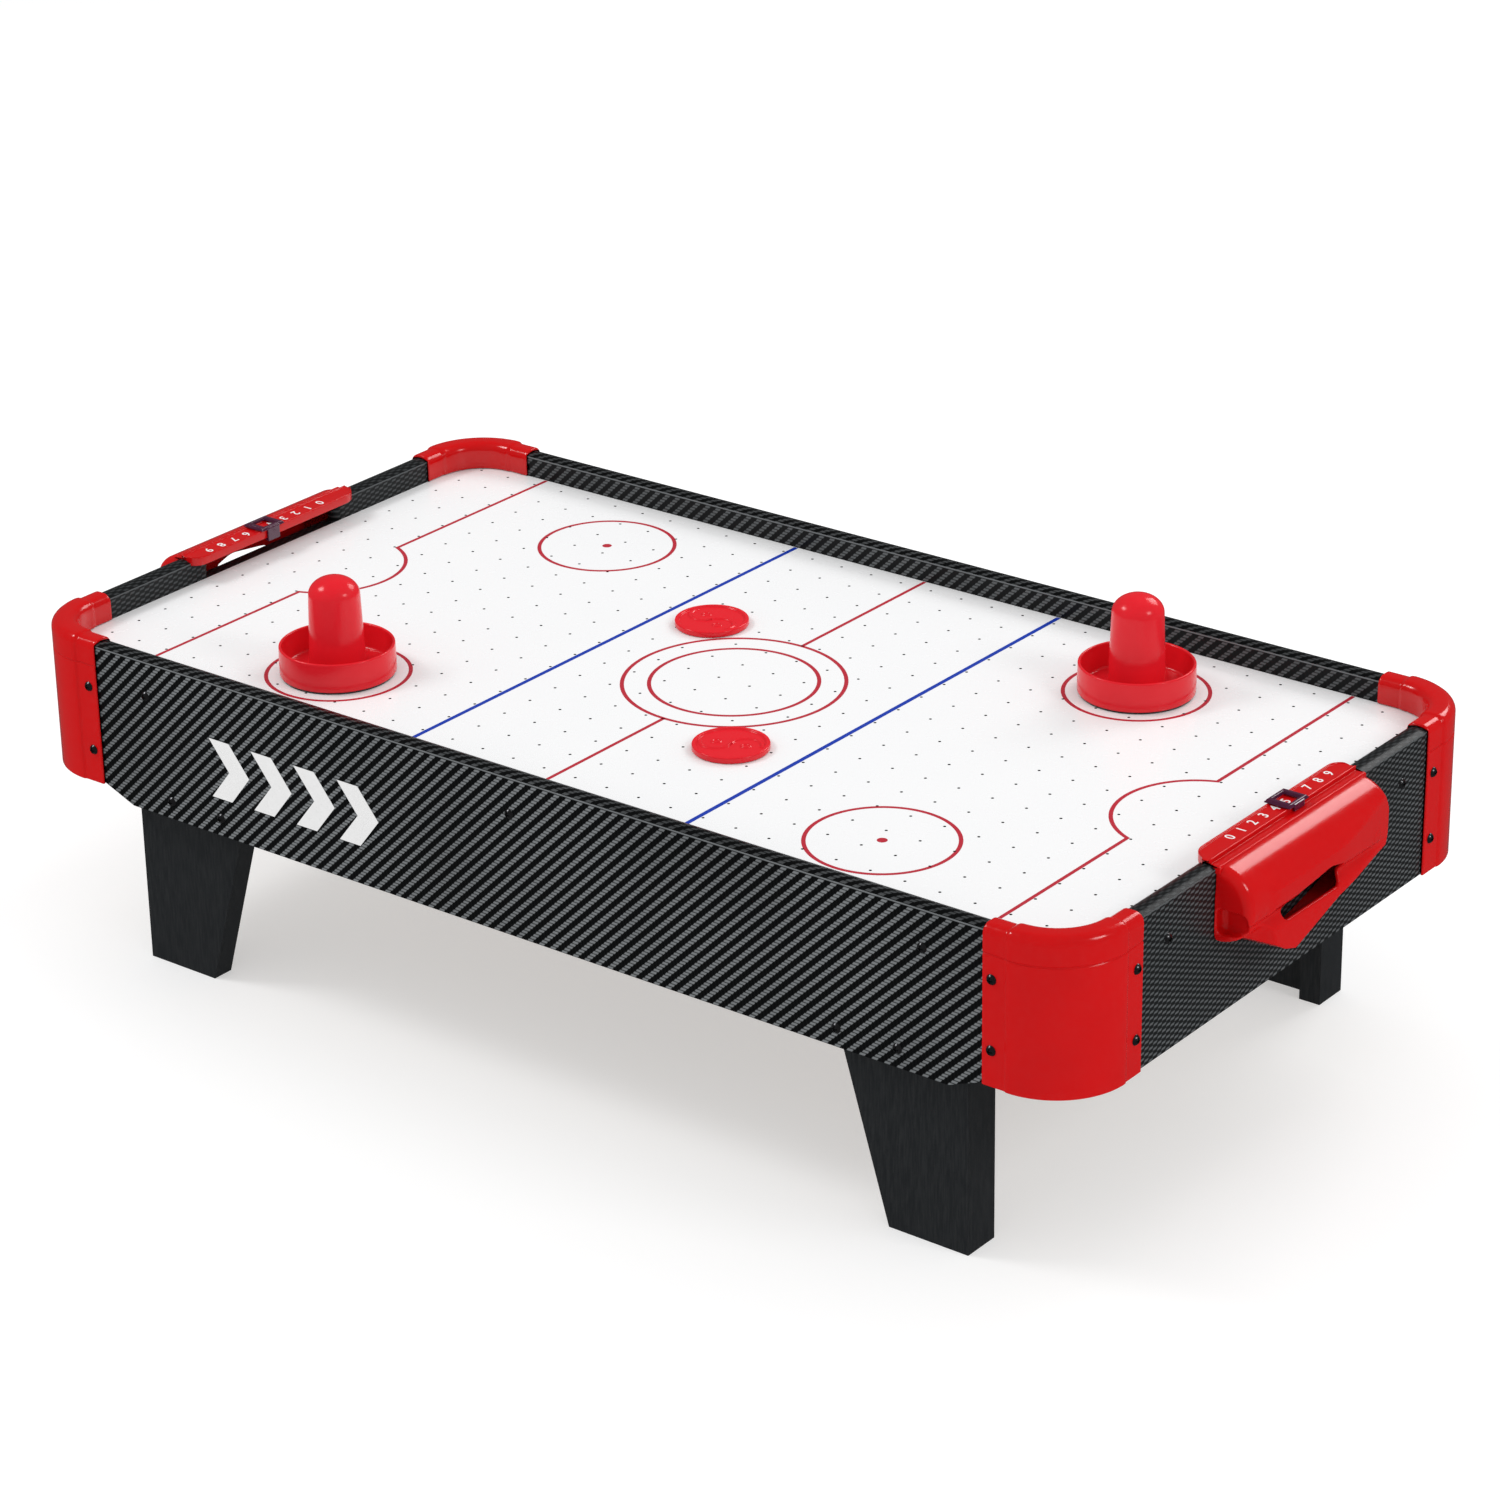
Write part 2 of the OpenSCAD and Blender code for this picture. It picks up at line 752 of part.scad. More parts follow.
module switch_body() {
    face_y = half_w + plate_t;
    depth = 14;
    collar_t = 1.2;
    pin_y = face_y - 1.5;
    color("#0c0c0d") difference() {
        union() {
            translate([switch_x - 8.9, face_y - depth, plate_z - 5.9]) cube([17.8, depth, 11.8]);
            translate([switch_x - 10.5, face_y, plate_z - 7.5]) cube([21, collar_t, 15]);
        }
        translate([switch_x - 7, face_y - 7, plate_z - 4]) cube([14, 9, 8]);
        translate([switch_x, pin_y, plate_z - 5]) cylinder(d = rocker_pin_d + 2 * bore_gap, h = 10);
    }
}

// Rocker at rest with its off side pressed in; the pin runs along Z
module switch_rocker() {
    pin_y = half_w + plate_t - 1.5;
    thick = 5;
    color("#b01218") translate([switch_x, pin_y, plate_z]) rotate([0, 0, -rocker_off]) {
        translate([-rocker_w / 2, -thick / 2, -rocker_h / 2]) cube([rocker_w, thick, rocker_h]);
        translate([0, 0, -4.8]) cylinder(d = rocker_pin_d, h = 9.6);
    }
}

module dc_jack() {
    face_y = half_w + plate_t;
    depth = 14;
    color("#1a1a1c") difference() {
        union() {
            translate([jack_x, face_y + 1.2, plate_z]) rotate([90, 0, 0]) cylinder(d = 12, h = 1.2);
            translate([jack_x, face_y + eps, plate_z]) rotate([90, 0, 0]) cylinder(d = jack_d, h = depth);
            translate([jack_x, half_w, plate_z]) rotate([90, 0, 0]) cylinder(d = 12, h = 2.2, $fn = 6);
        }
        difference() {
            translate([jack_x, face_y + 2, plate_z]) rotate([90, 0, 0]) cylinder(d = jack_bore_d, h = 11.5);
            translate([jack_x, face_y - 0.5, plate_z]) rotate([90, 0, 0])
                cylinder(d = jack_pin_d, h = depth);
        }
    }
}

// Lead from the power plate to the motor, held up against the bottom panel
wire_r = 1.5;
wire_path = [
    [139, 205.4, plate_z], [139, 196, plate_z], [136, 184, panel_z - 8], [130, 172, panel_z - 3.5],
    [56, 62, panel_z - 3.5], [46, 50, panel_z - 9], [42, 43, motor_z + 9], [39, 39, motor_z + 7],
    [10.4, 10.4, motor_z + 7]
];

function unit(v) = v / norm(v);
function heading(path, i) = unit(path[min(i + 1, len(path) - 1)] - path[max(i - 1, 0)]);

// Round tube swept along a path; aside must not run along any stretch of it
module tube(path, r, aside, sides = 12) {
    last = len(path) - 1;
    points = [
        for (i = [0:last])
            let (t = heading(path, i), a = unit(cross(t, aside)), b = cross(t, a))
                for (k = [0:sides - 1]) path[i] + r * (cos(360 * k / sides) * a + sin(360 * k / sides) * b)
    ];
    walls = [
        for (i = [0:last - 1], k = [0:sides - 1])
            let (n = (k + 1) % sides, a = i * sides, b = a + sides) [a + k, b + k, b + n, a + n]
    ];
    polyhedron(points, concat(
        [[for (k = [0:sides - 1]) k]], [[for (k = [sides - 1:-1:0]) last * sides + k]], walls
    ));
}

module wire_harness() {
    color("#18181a") tube(wire_path, wire_r, [0.8, -0.6, 0]);
}

module wire_clips() {
    a = wire_path[3];
    b = wire_path[4];
    turn = atan2(b[1] - a[1], b[0] - a[0]);
    clip_w = 9;
    color("#e6e6e2") for (k = [0.15, 0.5, 0.85]) {
        at = a + k * (b - a);
        translate(at) rotate([0, 0, turn]) difference() {
            translate([-3, -clip_w / 2, -wire_r - 1.2]) cube([6, clip_w, panel_z - at[2] + wire_r + 1.2]);
            translate([-4, 0, 0]) rotate([0, 90, 0]) cylinder(r = wire_r + 0.1, h = 8);
            translate([-4, -wire_r - 0.1, 0]) cube([8, 2 * wire_r + 0.2, panel_z]);
        }
    }
}

module board_screws() {
    color(screw_black) for (s = [-1, 1]) {
        for (x = [-board_screw_x, 0, board_screw_x]) {
            screw_y(s, x, half_w, board_screw_z, board_screw_l);
        }
        for (y = [-end_screw_y, end_screw_y]) {
            screw_x(s, half_l, y, board_screw_z, board_screw_l);
        }
    }
}

module leg_screws() {
    color(screw_black) for (s = [-1, 1], sx = [-1, 1], x = leg_screw_x) {
        screw_y(s, sx * x, half_w, leg_screw_z, board_screw_l);
    }
}

module cap_screws() {
    color(screw_black) for (s = [-1, 1], side = [-1, 1], z = cap_screw_z) {
        screw_y(s, side * (half_l - cap_l + cap_screw_in), half_w + cap_flange_proud, z, cap_screw_l);
        screw_x(s, half_l + cap_flange_proud, side * (half_w - cap_l + cap_screw_in), z, cap_screw_l);
    }
}

module goal_screws() {
    color(screw_black) for (s = [-1, 1], side = [-1, 1]) {
        at_end(s) translate([half_l - board_t, side * goal_screw_v, goal_screw_z]) rotate([0, -90, 0])
            screw(goal_screw_l);
    }
}

module blower_screws() {
    color(screw_black) for (a = [45:90:315]) {
        rotate(a) translate([blower_screw_r, 0, panel_z - flange_t]) rotate([180, 0, 0])
            screw(flange_t + panel_t + 2);
    }
}

module panel_screws() {
    color(screw_black) for (x = panel_screw_x, s = [-1, 1]) {
        translate([x, s * (half_w - board_t - cleat_t / 2), panel_z]) rotate([180, 0, 0])
            screw(panel_t + 8);
    }
}

module plate_screws() {
    color(screw_black) for (sx = [-1, 1]) {
        screw_y(1, plate_x + sx * (plate_w / 2 - 4), half_w + plate_t, plate_z, plate_t + 8);
    }
}

playfield();
bottom_panel();
long_board(-1);  // long_board_front
long_board(1);  // long_board_back
end_board(-1);  // end_board_left
end_board(1);  // end_board_right
corner_cap(-1, -1);  // corner_cap_front_left
corner_cap(1, -1);  // corner_cap_front_right
corner_cap(-1, 1);  // corner_cap_back_left
corner_cap(1, 1);  // corner_cap_back_right
corner_blocks();
side_cleats();
end_cleats();
cross_ribs();
leg(-1, -1);  // leg_front_left
leg(1, -1);  // leg_front_right
leg(-1, 1);  // leg_back_left
leg(1, 1);  // leg_back_right
goal_box(-1);  // goal_box_left
goal_box(1);  // goal_box_right
score_slider(-1, score_left);  // score_slider_left
score_slider(1, score_right);  // score_slider_right
pusher(-1);  // pusher_left
pusher(1);  // pusher_right
pusher_felt(-1);  // pusher_felt_left
pusher_felt(1);  // pusher_felt_right
puck(puck_front_at);  // puck_front
puck(puck_back_at);  // puck_back
blower_housing();
blower_grille();
blower_motor();
motor_bushes();
motor_shaft();
impeller();
power_plate();
switch_body();
switch_rocker();
dc_jack();
wire_harness();
wire_clips();
board_screws();
leg_screws();
cap_screws();
goal_screws();
blower_screws();
panel_screws();
plate_screws();
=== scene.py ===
"""Looks of the tabletop air hockey table, built around its CAD frame.

Lengths inside the mesh functions are millimetres in the table's own frame; meshes are stored in metres.
"""
import json
import math

import bmesh
import bpy
import numpy as np
from mathutils import Matrix, Vector


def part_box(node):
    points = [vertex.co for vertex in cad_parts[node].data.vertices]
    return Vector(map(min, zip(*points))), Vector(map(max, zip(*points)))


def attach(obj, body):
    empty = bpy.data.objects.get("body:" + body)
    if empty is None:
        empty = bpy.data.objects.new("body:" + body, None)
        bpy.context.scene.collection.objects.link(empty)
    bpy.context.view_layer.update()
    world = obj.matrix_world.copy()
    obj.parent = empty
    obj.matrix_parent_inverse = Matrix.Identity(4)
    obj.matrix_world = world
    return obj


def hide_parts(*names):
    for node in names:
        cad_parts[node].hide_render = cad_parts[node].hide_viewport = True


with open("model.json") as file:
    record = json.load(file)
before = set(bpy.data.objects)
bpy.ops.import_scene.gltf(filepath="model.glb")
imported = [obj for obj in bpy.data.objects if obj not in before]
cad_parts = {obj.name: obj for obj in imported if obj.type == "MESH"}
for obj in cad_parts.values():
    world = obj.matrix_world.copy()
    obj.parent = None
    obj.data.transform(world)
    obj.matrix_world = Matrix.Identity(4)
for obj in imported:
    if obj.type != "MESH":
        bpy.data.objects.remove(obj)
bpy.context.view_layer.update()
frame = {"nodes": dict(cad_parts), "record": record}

MM = 0.001


def low(node):
    """Lowest corner of a CAD node, in millimetres."""
    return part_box(node)[0] / MM


def high(node):
    """Highest corner of a CAD node, in millimetres."""
    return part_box(node)[1] / MM


# Levels and planes of the frame
RAIL_TOP = high("long_board_front").z
PLAY_Z = high("playfield").z
END_X = high("end_board_right").x
SIDE_Y = high("long_board_back").y
BOARD_T = SIDE_Y - low("long_board_back").y
CAP_Z = low("corner_cap_back_right").z
CAP_PROUD = high("corner_cap_back_right").x - END_X
CAP_L = END_X - low("corner_cap_back_right").x
CORNER_R = END_X - high("long_board_back").x
FIELD_Y = high("playfield").y


# ---------------------------------------------------------------- materials

class Shader:
    """A Principled material, with short calls for the nodes that its patterns use."""

    def __init__(self, name, colour, roughness, **constants):
        self.material = bpy.data.materials.new(name)
        self.material.use_nodes = True
        self.nodes = self.material.node_tree.nodes
        self.links = self.material.node_tree.links
        self.bsdf = self.nodes["Principled BSDF"]
        self.bsdf.inputs["Base Color"].default_value = (*colour, 1)
        self.bsdf.inputs["Roughness"].default_value = roughness
        for key, value in constants.items():
            self.bsdf.inputs[key.replace("_", " ").title().replace("Ior", "IOR")].default_value = value
        self.material.diffuse_color = (*colour, 1)
        place = self.nodes.new("ShaderNodeTexCoord").outputs["Object"]
        self.place = self.scaled(place, 1 / MM)
        split = self.nodes.new("ShaderNodeSeparateXYZ")
        self.links.new(self.place, split.inputs[0])
        self.x, self.y, self.z = split.outputs

    def scaled(self, vector, factor):
        node = self.nodes.new("ShaderNodeVectorMath")
        node.operation = "MULTIPLY"
        self.put(vector, node.inputs[0])
        self.put(factor if hasattr(factor, "__len__") else (factor,) * 3, node.inputs[1])
        return node.outputs[0]

    def put(self, value, socket):
        if isinstance(value, bpy.types.NodeSocket):
            self.links.new(value, socket)
        elif value is not None:
            socket.default_value = value

    def math(self, operation, a, b=None, c=None):
        node = self.nodes.new("ShaderNodeMath")
        node.operation = operation
        for value, socket in zip((a, b, c), node.inputs):
            self.put(value, socket)
        return node.outputs[0]

    def remap(self, value, a, b, to_a=0.0, to_b=1.0):
        """value from a..b onto to_a..to_b, with a smooth start and end."""
        node = self.nodes.new("ShaderNodeMapRange")
        node.interpolation_type = "SMOOTHSTEP"
        for item, socket in zip((value, a, b, to_a, to_b), node.inputs):
            self.put(item, socket)
        return node.outputs[0]

    def noise(self, size, detail=3.0, stretch=(1, 1, 1), roughness=0.55):
        """Noise from 0 to 1 whose lumps are about size millimetres across, longer along a small stretch."""
        node = self.nodes.new("ShaderNodeTexNoise")
        self.put(self.scaled(self.place, tuple(s / size for s in stretch)), node.inputs["Vector"])
        node.inputs["Scale"].default_value = 1.0
        node.inputs["Detail"].default_value = detail
        node.inputs["Roughness"].default_value = roughness
        return node.outputs["Fac"]

    def mix(self, factor, a, b):
        node = self.nodes.new("ShaderNodeMix")
        node.data_type = "RGBA"
        for value, socket in ((factor, 0), (a, 6), (b, 7)):
            self.put((*value, 1) if isinstance(value, tuple) else value, node.inputs[socket])
        return node.outputs[2]

    def colour(self, value):
        self.put(value, self.bsdf.inputs["Base Color"])

    def roughness(self, value):
        self.put(value, self.bsdf.inputs["Roughness"])

    def bump(self, height, depth, strength=1.0):
        """Bump whose full height is depth millimetres."""
        node = self.nodes.new("ShaderNodeBump")
        node.inputs["Strength"].default_value = strength
        node.inputs["Distance"].default_value = depth * MM
        self.put(height, node.inputs["Height"])
        self.links.new(node.outputs[0], self.bsdf.inputs["Normal"])


def moulded(name, colour, roughness, grain=0.35, depth=0.02, shade=0.06, **constants):
    """Moulded plastic: slightly uneven colour and gloss over a fine surface grain."""
    s = Shader(name, colour, roughness, **constants)
    cloud = s.noise(28, 2)
    dark = tuple(c * (1 - shade) for c in colour)
    bright = tuple(min(1, c * (1 + shade)) for c in colour)
    s.colour(s.mix(cloud, dark, bright))
    scuffs = s.noise(3.5, 5)
    s.roughness(s.remap(scuffs, 0.35, 0.75, roughness * 0.85, roughness * 1.25))
    s.bump(s.noise(grain, 2), depth, 0.5)
    return s


HOLE_PITCH = 24.3
HOLE_R = 0.95
# Painted shade of the air holes: the colour of the dark dot laid over each hole
HOLE_SHADE = (0.012, 0.012, 0.013)
HOLE_REACH = CORNER_R - BOARD_T - 5.0


def air_holes(s):
    """1 at the air holes, where their shade is painted as dark dots a little wider than the drilled holes.
    The holes lie on a square lattice and keep clear of the field's round corners.
    """
    def off_lattice(place, shift):
        turn = s.math("FRACT", s.math("ADD", s.math("DIVIDE", place, HOLE_PITCH), shift))
        return s.math("MULTIPLY", s.math("SUBTRACT", turn, 0.5), HOLE_PITCH)

    def past_corner(place, edge):
        return s.math("MAXIMUM", s.math("SUBTRACT", s.math("ABSOLUTE", place), edge - CORNER_R), 0.0)

    def length(a, b):
        return s.math("SQRT", s.math("ADD", s.math("MULTIPLY", a, a), s.math("MULTIPLY", b, b)))

    away = length(off_lattice(s.x, 0.0), off_lattice(s.y, 0.5))
    outside = length(past_corner(s.x, END_X), past_corner(s.y, SIDE_Y))
    spot = s.remap(away, HOLE_R - 0.12, HOLE_R + 0.12, 1.0, 0.0)
    return s.math("MULTIPLY", spot, s.math("LESS_THAN", outside, HOLE_REACH + 1.0))


def field_laminate():
    """White printed laminate with a faint orange peel, drilled with air holes whose shade is painted on as
    dark dots.
    """
    s = Shader("field_laminate", (0.88, 0.885, 0.89), 0.3, specular_ior_level=0.2)
    clean = s.mix(s.noise(60, 3), (0.868, 0.872, 0.88), (0.89, 0.892, 0.896))
    s.colour(s.mix(air_holes(s), clean, HOLE_SHADE))
    s.roughness(s.remap(s.noise(9, 4), 0.3, 0.7, 0.24, 0.28))
    s.bump(s.noise(2.2, 2), 0.004, 0.4)
    return s.material


def printed_ink(name, colour):
    """Screen print on the laminate, thinner in places, with the painted shade of the air holes showing
    through as dark dots.
    """
    s = Shader(name, colour, 0.3, specular_ior_level=0.4)
    pale = tuple(0.94 * c + 0.03 for c in colour)
    ink = s.mix(s.remap(s.noise(1.2, 4), 0.5, 0.85), colour, pale)
    s.colour(s.mix(air_holes(s), ink, HOLE_SHADE))
    s.roughness(s.remap(s.noise(3, 3), 0.3, 0.7, 0.26, 0.38))
    s.bump(s.noise(0.5, 2), 0.01, 0.4)
    return s.material


def pad_print(name, colour):
    """Pad print on plastic or foil, a little uneven."""
    s = Shader(name, colour, 0.3, specular_ior_level=0.3)
    s.colour(s.mix(s.noise(4, 4), tuple(0.93 * c for c in colour), colour))
    s.roughness(s.remap(s.noise(3, 3), 0.3, 0.7, 0.26, 0.38))
    s.bump(s.noise(0.5, 2), 0.01, 0.4)
    return s.material


def carbon_foil(name, cell_u, cell_v, row_step, pale, dark, along, outer_face):
    """Printed twill foil. along is the axis (0 or 1) that the board runs along, and outer_face is how far
    the board's outer face stands from the table's middle.

    Four cells make one repeat: two show the pale thread that runs along the board and two the dark one
    across it. Rows that step by one cell make the pale threads climb in diagonal stripes, and rows that
    step by two lay them like bricks.
    """
    s = Shader(name, dark, 0.3, specular_ior_level=0.12)
    normal = s.nodes.new("ShaderNodeNewGeometry").outputs["True Normal"]
    split = s.nodes.new("ShaderNodeSeparateXYZ")
    s.links.new(normal, split.inputs[0])
    steep = 0.8
    on_top = s.math("GREATER_THAN", split.outputs[2], steep)
    length = (s.x, s.y)[along]
    across = (s.y, s.x)[along]
    on_side = s.math("SUBTRACT", 1.0, on_top)
    height = s.math("ADD", s.math("MULTIPLY", on_top, across), s.math("MULTIPLY", on_side, s.z))
    u = s.math("DIVIDE", length, cell_u)
    v = s.math("DIVIDE", height, cell_v)
    # The threads lean a little, so u drifts within a row
    row = s.math("FLOOR", v)
    in_row = s.math("FRACT", v)
    lean = s.math("MULTIPLY", s.math("SUBTRACT", in_row, 0.5), 0.7)
    shifted = s.math("SUBTRACT", s.math("SUBTRACT", u, s.math("MULTIPLY", row, row_step)), lean)
    phase = s.math("FLOORED_MODULO", shifted, 4.0)
    ramp_up = s.remap(phase, 0.0, 0.3)
    ramp_down = s.remap(phase, 1.75, 2.05, 1.0, 0.0)
    over = s.math("MULTIPLY", ramp_up, ramp_down)
    # Each thread is pale across its row and dark where it meets the next one
    thread = s.math("MULTIPLY", s.remap(in_row, 0.04, 0.3), s.remap(in_row, 0.7, 0.96, 1.0, 0.0))
    fibres = s.noise(0.45, 2, (0.25, 0.25, 1))
    under = s.math("MULTIPLY", s.math("SUBTRACT", 1.0, over), s.math("PINGPONG", s.math("ADD", u, 0.5), 0.5))
    lit_thread = s.math("ADD", s.math("MULTIPLY", thread, 0.75), s.math("MULTIPLY", fibres, 0.35))
    weave = s.math("MULTIPLY", over, lit_thread)
    tone = s.math("ADD", weave, s.math("MULTIPLY", under, 0.03))
    # Painted highlight: a pale line along the side just under the rounded top, where the crown's crease
    # meets the side
    crease = s.math("ABSOLUTE", s.math("SUBTRACT", s.z, RAIL_TOP - 2.0))
    line = s.math("MULTIPLY", s.remap(crease, 0.25, 0.75, 0.85, 0.0), on_side)
    cloud = s.remap(s.noise(140, 2), 0.3, 0.7, 0.8, 1.15)
    # Painted shade: the foil is darker on the rail's top, and on the side that faces the field
    inner = s.math("LESS_THAN", s.math("ABSOLUTE", across), outer_face - 1.0)
    shade = s.math("MULTIPLY", s.math("SUBTRACT", 1.0, s.math("MULTIPLY", on_top, 0.5)),
                   s.math("SUBTRACT", 1.0, s.math("MULTIPLY", inner, 0.4)))
    tone = s.math("MULTIPLY", s.math("MULTIPLY", tone, cloud), shade)
    tone = s.math("MAXIMUM", tone, line)
    s.colour(s.mix(tone, dark, pale))
    s.roughness(s.remap(tone, 0.0, 1.0, 0.3, 0.4))
    s.bump(weave, 0.05, 0.35)
    return s.material


def wood(name, pale, dark, ring, along, roughness=0.6):
    """Planed wood with its grain along one axis."""
    s = Shader(name, pale, roughness, specular_ior_level=0.3)
    stretch = [1.0, 1.0, 1.0]
    stretch[along] = 0.06
    grain = s.noise(ring, 6, tuple(stretch), 0.65)
    pores = s.noise(0.8, 2, tuple(stretch))
    figure = s.math("ADD", s.math("MULTIPLY", grain, 0.75), s.math("MULTIPLY", pores, 0.25))
    s.colour(s.mix(s.remap(figure, 0.35, 0.65), dark, pale))
    s.roughness(s.remap(pores, 0.3, 0.7, roughness * 0.85, roughness * 1.15))
    s.bump(pores, 0.06, 0.5)
    return s.material


def hardboard():
    """Brown fibreboard with matted fibres."""
    s = Shader("hardboard", (0.25, 0.16, 0.09), 0.7, specular_ior_level=0.25)
    fibres = s.noise(1.6, 8, (1, 1, 1), 0.75)
    s.colour(s.mix(s.remap(fibres, 0.3, 0.7), (0.17, 0.105, 0.055), (0.33, 0.22, 0.125)))
    s.bump(fibres, 0.08, 0.5)
    return s.material


def leg_foil():
    """Satin charcoal foil with a fine pressed wood grain."""
    s = Shader("leg_laminate", (0.02, 0.022, 0.025), 0.42, specular_ior_level=0.2)
    grain = s.noise(1.1, 5, (1, 1, 0.08), 0.6)
    s.colour(s.mix(s.remap(grain, 0.35, 0.7), (0.014, 0.016, 0.018), (0.024, 0.026, 0.028)))
    s.roughness(s.remap(grain, 0.3, 0.7, 0.36, 0.5))
    s.bump(grain, 0.03, 0.5)
    return s.material


def felt():
    """Short dense felt."""
    s = Shader("felt", (0.02, 0.022, 0.025), 0.95, specular_ior_level=0.15, sheen_weight=0.4)
    fuzz = s.noise(0.5, 6, (1, 1, 1), 0.8)
    s.colour(s.mix(fuzz, (0.012, 0.013, 0.015), (0.035, 0.038, 0.042)))
    s.bump(fuzz, 0.2, 0.7)
    return s.material


def metal(name, colour, roughness, lines, stretch):
    """Turned or drawn metal with fine lines."""
    s = Shader(name, colour, roughness, metallic=1.0)
    fine = s.noise(lines, 3, stretch)
    s.colour(s.mix(fine, tuple(c * 0.85 for c in colour), tuple(min(1, c * 1.1) for c in colour)))
    s.roughness(s.remap(fine, 0.3, 0.7, roughness * 0.8, roughness * 1.3))
    s.bump(fine, 0.01, 0.4)
    return s.material


def tinted_plastic():
    """Dark purple tinted clear plastic."""
    s = moulded("slider_plastic", (0.085, 0.012, 0.045), 0.1, 0.6, 0.01, transmission_weight=0.25,
                coat_weight=0.6, ior=1.49)
    s.bsdf.inputs["Coat Roughness"].default_value = 0.05
    return s.material


def screw_finish():
    """Black zinc, worn a little brighter in small random patches."""
    s = Shader("screw_black", (0.1, 0.1, 0.105), 0.26, metallic=1.0)
    wear = s.noise(0.9, 5)
    s.colour(s.mix(s.remap(wear, 0.55, 0.8), (0.1, 0.1, 0.105), (0.2, 0.2, 0.205)))
    s.roughness(s.remap(wear, 0.3, 0.7, 0.22, 0.3))
    s.bump(wear, 0.01, 0.4)
    return s.material


FOIL_PALE = (0.19, 0.202, 0.21)
FOIL_DARK = (0.002, 0.0023, 0.0026)
END_PALE = (0.11, 0.119, 0.124)
END_DARK = (0.008, 0.009, 0.0095)
LONG_CELL = (2.2, 2.15)
END_CELL = (2.2, 1.9)

red = moulded("red_plastic", (0.58, 0.003, 0.004), 0.16, 0.9, 0.012, 0.05, specular_ior_level=0.42)
light_red = moulded("pusher_plastic", (0.76, 0.014, 0.024), 0.2, 0.9, 0.012, 0.05, specular_ior_level=0.3)

MATERIALS = {
    "field_laminate": field_laminate(),
    "board_laminate": carbon_foil("board_laminate", *LONG_CELL, 1, FOIL_PALE, FOIL_DARK, 0, SIDE_Y),
    "red_plastic": red.material,
    "timber": wood("timber", (0.58, 0.44, 0.27), (0.42, 0.29, 0.15), 7, 0),
    "hardboard": hardboard(),
    "leg_laminate": leg_foil(),
    "slider_plastic": tinted_plastic(),
    "pusher_plastic": light_red.material,
    "felt": felt(),
    "black_plastic": moulded("black_plastic", (0.018, 0.018, 0.02), 0.45, 0.5, 0.05, 0.15).material,
    "motor_steel": metal("motor_steel", (0.55, 0.56, 0.57), 0.28, 0.7, (1, 1, 0.1)),
    "bush_brass": metal("bush_brass", (0.60, 0.42, 0.18), 0.35, 0.4, (1, 1, 1)),
    "impeller_plastic": moulded("impeller_plastic", (0.02, 0.05, 0.10), 0.38, 0.5, 0.04, 0.1).material,
    "rocker_plastic": moulded("rocker_plastic", (0.45, 0.01, 0.015), 0.2, 0.5, 0.02).material,
    "lead_rubber": moulded("lead_rubber", (0.02, 0.02, 0.021), 0.6, 0.4, 0.04, 0.2).material,
    "clip_nylon": moulded("clip_nylon", (0.75, 0.75, 0.72), 0.4, 0.5, 0.02).material,
    "screw_black": screw_finish(),
}
END_FOIL = carbon_foil("board_laminate_end", *END_CELL, 2, END_PALE, END_DARK, 1, END_X)
INK_RED = printed_ink("ink_red", (0.50, 0.02, 0.04))
INK_BLUE = printed_ink("ink_blue", (0.005, 0.04, 0.42))
INK_WHITE = pad_print("ink_white", (0.86, 0.86, 0.86))


def dress_cad_nodes():
    """Gives every CAD node its slot's material."""
    for part in frame["record"]["subparts"]:
        node = frame["nodes"][part["node"]]
        finish = MATERIALS[part["material_slot"]]
        if part["node"].startswith("end_board"):
            finish = END_FOIL
        for slot in node.material_slots:
            slot.material = finish


# ---------------------------------------------------------------- meshes

def piece(name, mesh, material, body, replaces=(), normals=None, smooth=True):
    """Makes an object from (vertices in millimetres, faces), and fixes it to a body."""
    vertices, faces = mesh
    data = bpy.data.meshes.new(name)
    data.from_pydata((np.asarray(vertices, float) * MM).tolist(), [], [list(map(int, f)) for f in faces])
    data.validate()
    data.update()
    data.polygons.foreach_set("use_smooth", [smooth] * len(data.polygons))
    if normals is not None:
        data.normals_split_custom_set_from_vertices(normals)
    data.materials.append(material)
    made = bpy.data.objects.new(name, data)
    bpy.context.scene.collection.objects.link(made)
    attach(made, body)
    if replaces:
        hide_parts(*replaces)
    return made


def joined(*meshes):
    """One (vertices, faces) pair from several."""
    vertices, faces = [], []
    for points, polygons in meshes:
        start = len(vertices)
        vertices.extend([tuple(p) for p in points])
        faces.extend([[i + start for i in f] for f in polygons])
    return vertices, faces


def placed(mesh, matrix):
    """The mesh moved by a 4x4 matrix, with its faces turned round if the matrix mirrors it."""
    vertices, faces = mesh
    m = np.array(matrix)
    points = np.asarray(vertices, float) @ m[:3, :3].T + m[:3, 3]
    if np.linalg.det(m[:3, :3]) < 0:
        faces = [list(f)[::-1] for f in faces]
    return points, faces


